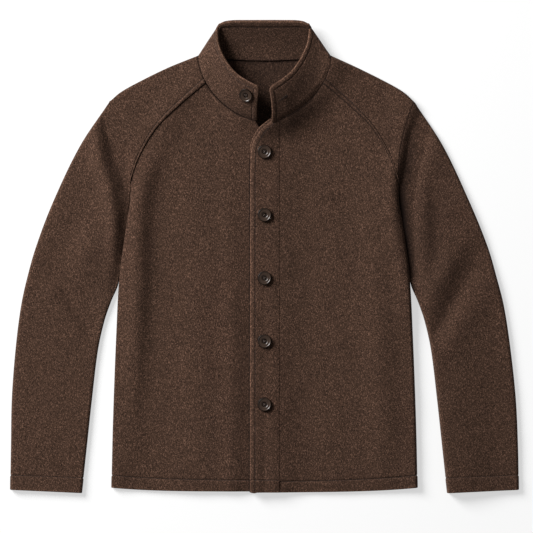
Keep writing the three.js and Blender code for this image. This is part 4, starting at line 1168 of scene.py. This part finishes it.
def thread_material():
    """Spun polyester thread, darker than the wool, with fine ply marks, and paler on the buttons."""
    material, tree = new_material("sewing thread")
    dark, light, pale = THREAD_COLOURS
    place = tree.nodes.new("ShaderNodeTexCoord").outputs["Object"]
    ply = add_node(tree, "ShaderNodeTexNoise", Vector=place, Scale=2600, Detail=1)
    colour = mixed(tree, ply.outputs["Fac"], dark, light)
    wear_and_painted_light = add_node(tree, "ShaderNodeAttribute", {"attribute_name": "wear_and_painted_light"})
    colour = mixed(tree, wear_and_painted_light.outputs["Fac"], colour, pale)
    bump = add_node(tree, "ShaderNodeBump", Strength=0.4, Distance=0.0001, Height=ply.outputs["Fac"])
    surface = add_node(tree, "ShaderNodeBsdfPrincipled", Base_Color=colour, Normal=bump.outputs[0])
    surface.inputs["Roughness"].default_value = 0.6
    show(tree, surface)
    return material


def tube(line, radius, sides=6):
    """Closed round tube along a line of points, its ends drawn in and closed by a pair of quads."""
    slope = np.gradient(line, axis=0)
    slope /= np.linalg.norm(slope, axis=1, keepdims=True)
    across = np.cross(slope, (0.13, 0.27, 0.95))
    across /= np.linalg.norm(across, axis=1, keepdims=True)
    upward = np.cross(across, slope)
    turn = np.linspace(0, 2 * math.pi, sides, endpoint=False)
    wide = np.full(len(line), radius)
    wide[0] = wide[-1] = radius * 0.3
    ring = np.cos(turn)[None, :, None] * across[:, None] + np.sin(turn)[None, :, None] * upward[:, None]
    points = line[:, None] + wide[:, None, None] * ring
    index = np.arange(len(line) * sides).reshape(len(line), sides)
    return points.reshape(-1, 3), tube_faces(index)


def tube_faces(index):
    """Quads round a tube of six sides, and two to close each end."""
    first, last = index[0], index[-1]
    ends = [first[[3, 2, 1, 0]], first[[5, 4, 3, 0]], last[[0, 1, 2, 3]], last[[0, 3, 4, 5]]]
    return np.concatenate([grid_quads(index, ring=True)[:, ::-1], np.array(ends)[:, ::-1]])


horn = horn_material()
thread = thread_material()
shape, quads, fans, depths = button_shape()


def button_place(seat, normal):
    """A function that lays points out from the button's own axis onto its seat, turned to its normal."""
    across = np.cross((0, 1, 0), normal)
    across = across / np.linalg.norm(across)
    axes = np.stack([across, np.cross(normal, across), normal])
    return lambda points: seat + points @ axes


def add_button(node, seat, normal):
    """One button and the cross of thread through its holes."""
    put = button_place(np.asarray(seat, float), np.asarray(normal, float))
    mesh = bpy.data.meshes.new(node)
    faces = quads.tolist() + fans.tolist()
    mesh.from_pydata((put(shape) * 0.001).tolist(), [], faces)
    deep = mesh.attributes.new("deep", "FLOAT", "POINT")
    deep.data.foreach_set("value", depths.astype(np.float32))
    mesh.shade_smooth()
    mesh.materials.append(horn)
    button = bpy.data.objects.new(f"{node}_horn", mesh)
    bpy.context.scene.collection.objects.link(button)
    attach(button, "root")
    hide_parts(node)
    strands = []
    along = np.linspace(-1, 1, 15)
    for turn in (1, -1):
        for beside in (-STRAND_RADIUS, STRAND_RADIUS):
            x = along * HOLE_OUT + beside
            y = turn * along * HOLE_OUT - turn * beside
            lift = 2.35 + 0.32 * (1 - along**2) - 1.4 * smooth(np.abs(along), 0.86, 1)
            line = np.stack([x, y, lift + 0.12 * turn], axis=1)
            points, faces = tube(put(line), STRAND_RADIUS)
            strands.append((points, faces, np.full(len(points), 0.5)))
    add_mesh(f"{node}_thread", strands, thread)


for i in range(BUTTON_COUNT):
    y = BUTTON_TOP_Y - i * BUTTON_PITCH
    lift = max(float(band_top(x, y)) for x in (-8.0, 0.0, 8.0)) + SEAM
    add_button(f"button_{i + 1}", (0, y, lift), (0, 0, 1))
seat_normal = collar_normal(*COLLAR_BUTTON)
add_button("button_collar", collar_outside(*COLLAR_BUTTON) + SEAM * seat_normal, seat_normal)

# -------------------------------------------------------------------------------------- buttonholes
# Each is a slit overcast on both sides and barred at its ends. All but their right ends are under the
# buttons, and the collar's, on its left end, is empty.

BAR_PITCH, BAR_REACH, BAR_RADIUS = 0.95, 1.5, 0.2
SLIT_RADIUS, SLIT_SHADE = 0.34, 1.3
SLIT_POINTS = 12
BAND_HOLE = (-10.7, 12.2)  # ends of a hole in the band, x
COLLAR_HOLE, COLLAR_HOLE_REACH = (29.3, 252.2), (6.5, 4.5)  # middle of the collar's, and from there to an end


def follow(line):
    """Length of a line of points, a function that reads values of its points at other lengths along it,
    straight between two points, and one for its unit direction there."""
    length = np.r_[0, np.linalg.norm(np.diff(line, axis=0), axis=1).cumsum()]

    def read(values, at):
        return np.stack([np.interp(at, length, values[:, k]) for k in range(3)], axis=1)

    def heading(at):
        along = read(line, at + 0.5) - read(line, at - 0.5)
        return along / np.linalg.norm(along, axis=1, keepdims=True)

    return length[-1], read, heading


def buttonhole(line, normals):
    """A slit along a line of points: overcast stitches from its edge out, a bar at each end, and the slit, a
    dark tube painted as the shade in it.
    """
    length, read, heading = follow(line)
    at = np.arange(0.3, length - 0.2, BAR_PITCH)
    along = heading(at)
    threads, slit = [], tube(line + 0.1 * normals, SLIT_RADIUS)
    for middle, up, ahead in zip(read(line, at), read(normals, at), along):
        across = np.cross(up, ahead)
        for side in (-1, 1):
            reach = np.linspace(0.25, BAR_REACH, 5)[:, None]
            bow = np.array([0.0, 0.28, 0.3, 0.2, -0.15])[:, None]
            threads.append(tube(middle + side * reach * across + bow * up, BAR_RADIUS))
    for end, ahead, up in ((line[0], along[0], normals[0]), (line[-1], along[-1], normals[-1])):
        reach = np.linspace(-BAR_REACH, BAR_REACH, 7)[:, None]
        bow = 0.42 - 0.25 * (reach / BAR_REACH) ** 2
        threads.append(tube(end + reach * np.cross(up, ahead) + bow * up, BAR_RADIUS * 1.4))
    # the slit's tube is darkened nearly to black, painted shade
    dark = [(*slit, np.full(len(slit[0]), -SLIT_SHADE))]
    return [(*stitch, np.zeros(len(stitch[0]))) for stitch in threads], dark


def collar_spot(x, y):
    """Round and up the collar at a place on its left front, the nearest of a grid."""
    around, up = np.meshgrid(np.linspace(0.75, 0.99, 200), np.linspace(0.05, 0.95, 200))
    away = np.hypot(collar_outside(around, up)[..., 0] - x, collar_outside(around, up)[..., 1] - y)
    k = np.argmin(away)
    return around.ravel()[k], up.ravel()[k]


hole_threads, hole_slits = [], []
for i in range(BUTTON_COUNT):
    x = np.linspace(*BAND_HOLE, SLIT_POINTS)
    y = np.full(SLIT_POINTS, float(BUTTON_TOP_Y - i * BUTTON_PITCH))
    line = np.stack([x, y, band_top(x, y) + 0.05], axis=1)
    threads, slits = buttonhole(line, np.tile([0.0, 0.0, 1.0], (SLIT_POINTS, 1)))
    hole_threads += threads
    hole_slits += slits
hole_ends = [collar_spot(*(np.array(COLLAR_HOLE) + s * np.array(COLLAR_HOLE_REACH))) for s in (-1, 1)]
around, up = np.linspace(*hole_ends, SLIT_POINTS).T
line_normals = collar_normal(around, up)
threads, slits = buttonhole(collar_outside(around, up) + 0.05 * line_normals, line_normals)
add_mesh("buttonhole_stitches", hole_threads + threads, thread)
add_mesh("buttonhole_slits", hole_slits + slits, wool)

# --------------------------------------------------------------------------------------- stitching
# Rows of topstitching in the wool's own colour, eight stitches in 27 mm: raglan edges, band edge, hems,
# cuffs and the whole edge of the collar. Each stitch is pulled down into the felt.

STITCH_PITCH = 3.4
STITCH_LENGTH = 2.7
STITCH_RADIUS = 0.25


def stitch_row(line, normal):
    """Stitches along a line of points on the cloth. Each is a bowed spindle of six rings: it is full in the
    middle and a quarter of that at its ends, and it dips with the square of the way out to them."""
    length, read, heading = follow(line)
    count = int(length / STITCH_PITCH)
    at = (np.arange(count) + 0.5) * length / count
    centre, up, along = read(line, at), read(normal, at), heading(at)
    across = np.cross(along, up)
    t = np.array([-1, -0.85, -0.4, 0.4, 0.85, 1.0])
    radius = STITCH_RADIUS * np.array([0.25, 0.75, 1, 1, 0.75, 0.25])
    turn = np.linspace(0, 2 * math.pi, 6, endpoint=False)
    t_out = (t * STITCH_LENGTH / 2)[:, None] * np.ones(6)
    side = radius[:, None] * np.cos(turn)
    rise = radius[:, None] * np.sin(turn) + (0.12 - 0.35 * t**2)[:, None]
    local = np.stack([t_out, side, rise], axis=-1).reshape(-1, 3)
    frames = np.stack([along, across, up], axis=1)
    points = centre[:, None] + np.einsum("pk,skc->spc", local, frames)
    index = np.arange(36).reshape(6, 6)
    one = tube_faces(index)
    faces = (one[None] + 36 * np.arange(count)[:, None, None]).reshape(-1, 4)
    points = points.reshape(-1, 3)
    return points, faces, np.zeros(len(points))


def nearest(places, target):
    return int(np.argmin(np.abs(places - target)))


def on_wall(wall, way):
    """A line of the wall's outside and its normals: what way picks out of both grids."""
    outside, normal = wall[3:]
    return way(outside), way(normal)


def sew(name, lines):
    add_mesh(name, [stitch_row(*line) for line in lines], thread)


hem_row = nearest(panel_rows(FRONT_PITCH) * PANEL_LENGTH, HEM_DEPTH)
side_columns = len(FOLD_TURNS) - 4  # the stitching starts out of sight in the side fold
band_row = nearest(band_rows() * BAND_LENGTH, BAND_HEM_TOP)
band_middle = band_wall[3][100]  # a row of the straight part
band_column = nearest(np.linalg.norm(band_middle - band_middle[-1], axis=1), EDGE_STITCH)
sew("hem_stitches", [
    on_wall(front_walls["right"], lambda grid: grid[hem_row, side_columns:-4]),
    on_wall(front_walls["left"], lambda grid: grid[hem_row, side_columns:-2]),
    on_wall(band_wall, lambda grid: grid[band_row, 2:band_column]),
])
sew("band_stitches", [on_wall(band_wall, lambda grid: grid[4:-3, band_column])])
sew("raglan_stitches", [
    on_wall(wall, lambda grid: grid[3:-3, column])
    for wall in shoulder_walls.values()
    for column in (raglan_column, wall[3].shape[1] - 1 - raglan_column)
])
cuff_row = nearest(sleeve_rows(), CUFF_STITCH)
sew("cuff_stitches", [
    on_wall(wall, lambda grid: np.concatenate([grid[cuff_row], grid[cuff_row, :1]]))
    for wall in sleeve_walls.values()
])


def collar_line(wall):
    """The edge stitching of one layer: up one end, round the rim and down the other end."""
    around, up = collar_grid(COLLAR_START, 1)
    row = nearest((up[-1] - up) * COLLAR_HEIGHT, COLLAR_STITCH)
    last = nearest((1 - around) * ROUND_LENGTH, COLLAR_STITCH)
    first = around.shape[1] - 1 - last

    def way(grid):
        return np.concatenate([grid[3:row, first], grid[row, first:last], grid[row:2:-1, last]])

    return on_wall(wall, way)


sew("collar_stitches", [collar_line(collar_wall), collar_line(facing_wall)])

# -------------------------------------------------------------------------------------------- studio
# The jacket lies on a pale floor in soft daylight from the upper left, with the camera straight above it.
# Floor, lamp and sky are no part of it.

FLOOR_HALF = 15.0
FLOOR_GREY, FLOOR_GLOW = 0.35, 0.58
CAMERA_HEIGHT = 10.0
CAMERA_REACH = 40  # beyond the floor's far corners
FRAME_WIDTH = 0.8528  # what the picture takes in at the cloth
FRAME_MIDDLE = (0.0032, -0.016)
LAMP_AZIMUTH, LAMP_ELEVATION = 144, 31  # from +x towards +y, and above the floor
LAMP_DISTANCE, LAMP_WIDTH, LAMP_WATTS = 5.0, 2.7, 545
SKY_STRENGTH, BACKDROP = 0.21, 0.98  # what the sky gives, and how bright it looks to the camera

floor_mesh = bpy.data.meshes.new("floor")
corners = [(x * FLOOR_HALF, y * FLOOR_HALF, 0) for x, y in ((-1, -1), (1, -1), (1, 1), (-1, 1))]
floor_mesh.from_pydata(corners, [], [(0, 1, 2, 3)])
floor = bpy.data.objects.new("floor", floor_mesh)
bpy.context.scene.collection.objects.link(floor)
white = bpy.data.materials.new("white floor")
white.use_nodes = True
floor_surface = white.node_tree.nodes["Principled BSDF"].inputs
floor_surface["Base Color"].default_value = (FLOOR_GREY, FLOOR_GREY, FLOOR_GREY, 1)
floor_surface["Roughness"].default_value = 1.0
floor_surface["Specular IOR Level"].default_value = 0.0
floor_surface["Emission Color"].default_value = (1, 1, 1, 1)
floor_surface["Emission Strength"].default_value = FLOOR_GLOW
floor_mesh.materials.append(white)

lamp_light = bpy.data.lights.new("softbox", "AREA")
lamp_light.shape = "DISK"
lamp_light.size, lamp_light.energy = LAMP_WIDTH, LAMP_WATTS
lamp = bpy.data.objects.new("softbox", lamp_light)
azimuth, elevation = math.radians(LAMP_AZIMUTH), math.radians(LAMP_ELEVATION)
lamp.location = (
    LAMP_DISTANCE * math.cos(elevation) * math.cos(azimuth),
    LAMP_DISTANCE * math.cos(elevation) * math.sin(azimuth),
    LAMP_DISTANCE * math.sin(elevation),
)
lamp.rotation_euler = (0, math.radians(90) - elevation, azimuth)
bpy.context.scene.collection.objects.link(lamp)

world = bpy.data.worlds.new("sky")
world.use_nodes = True
sky = world.node_tree
ray = sky.nodes.new("ShaderNodeLightPath")
strength = add_node(sky, "ShaderNodeMapRange", Value=ray.outputs["Is Camera Ray"])
strength.inputs["To Min"].default_value, strength.inputs["To Max"].default_value = SKY_STRENGTH, BACKDROP
sky.nodes["Background"].inputs["Color"].default_value = (1, 1, 1, 1)
sky.links.new(strength.outputs["Result"], sky.nodes["Background"].inputs["Strength"])
bpy.context.scene.world = world
bpy.context.scene.view_settings.view_transform = "Standard"

camera_data = bpy.data.cameras.new("camera")
camera_data.lens = camera_data.sensor_width * CAMERA_HEIGHT / FRAME_WIDTH
camera_data.clip_end = CAMERA_REACH
camera = bpy.data.objects.new("camera", camera_data)
camera.location = (*FRAME_MIDDLE, CAMERA_HEIGHT + LOW_TOP * 0.001)
bpy.context.scene.collection.objects.link(camera)
bpy.context.scene.camera = camera
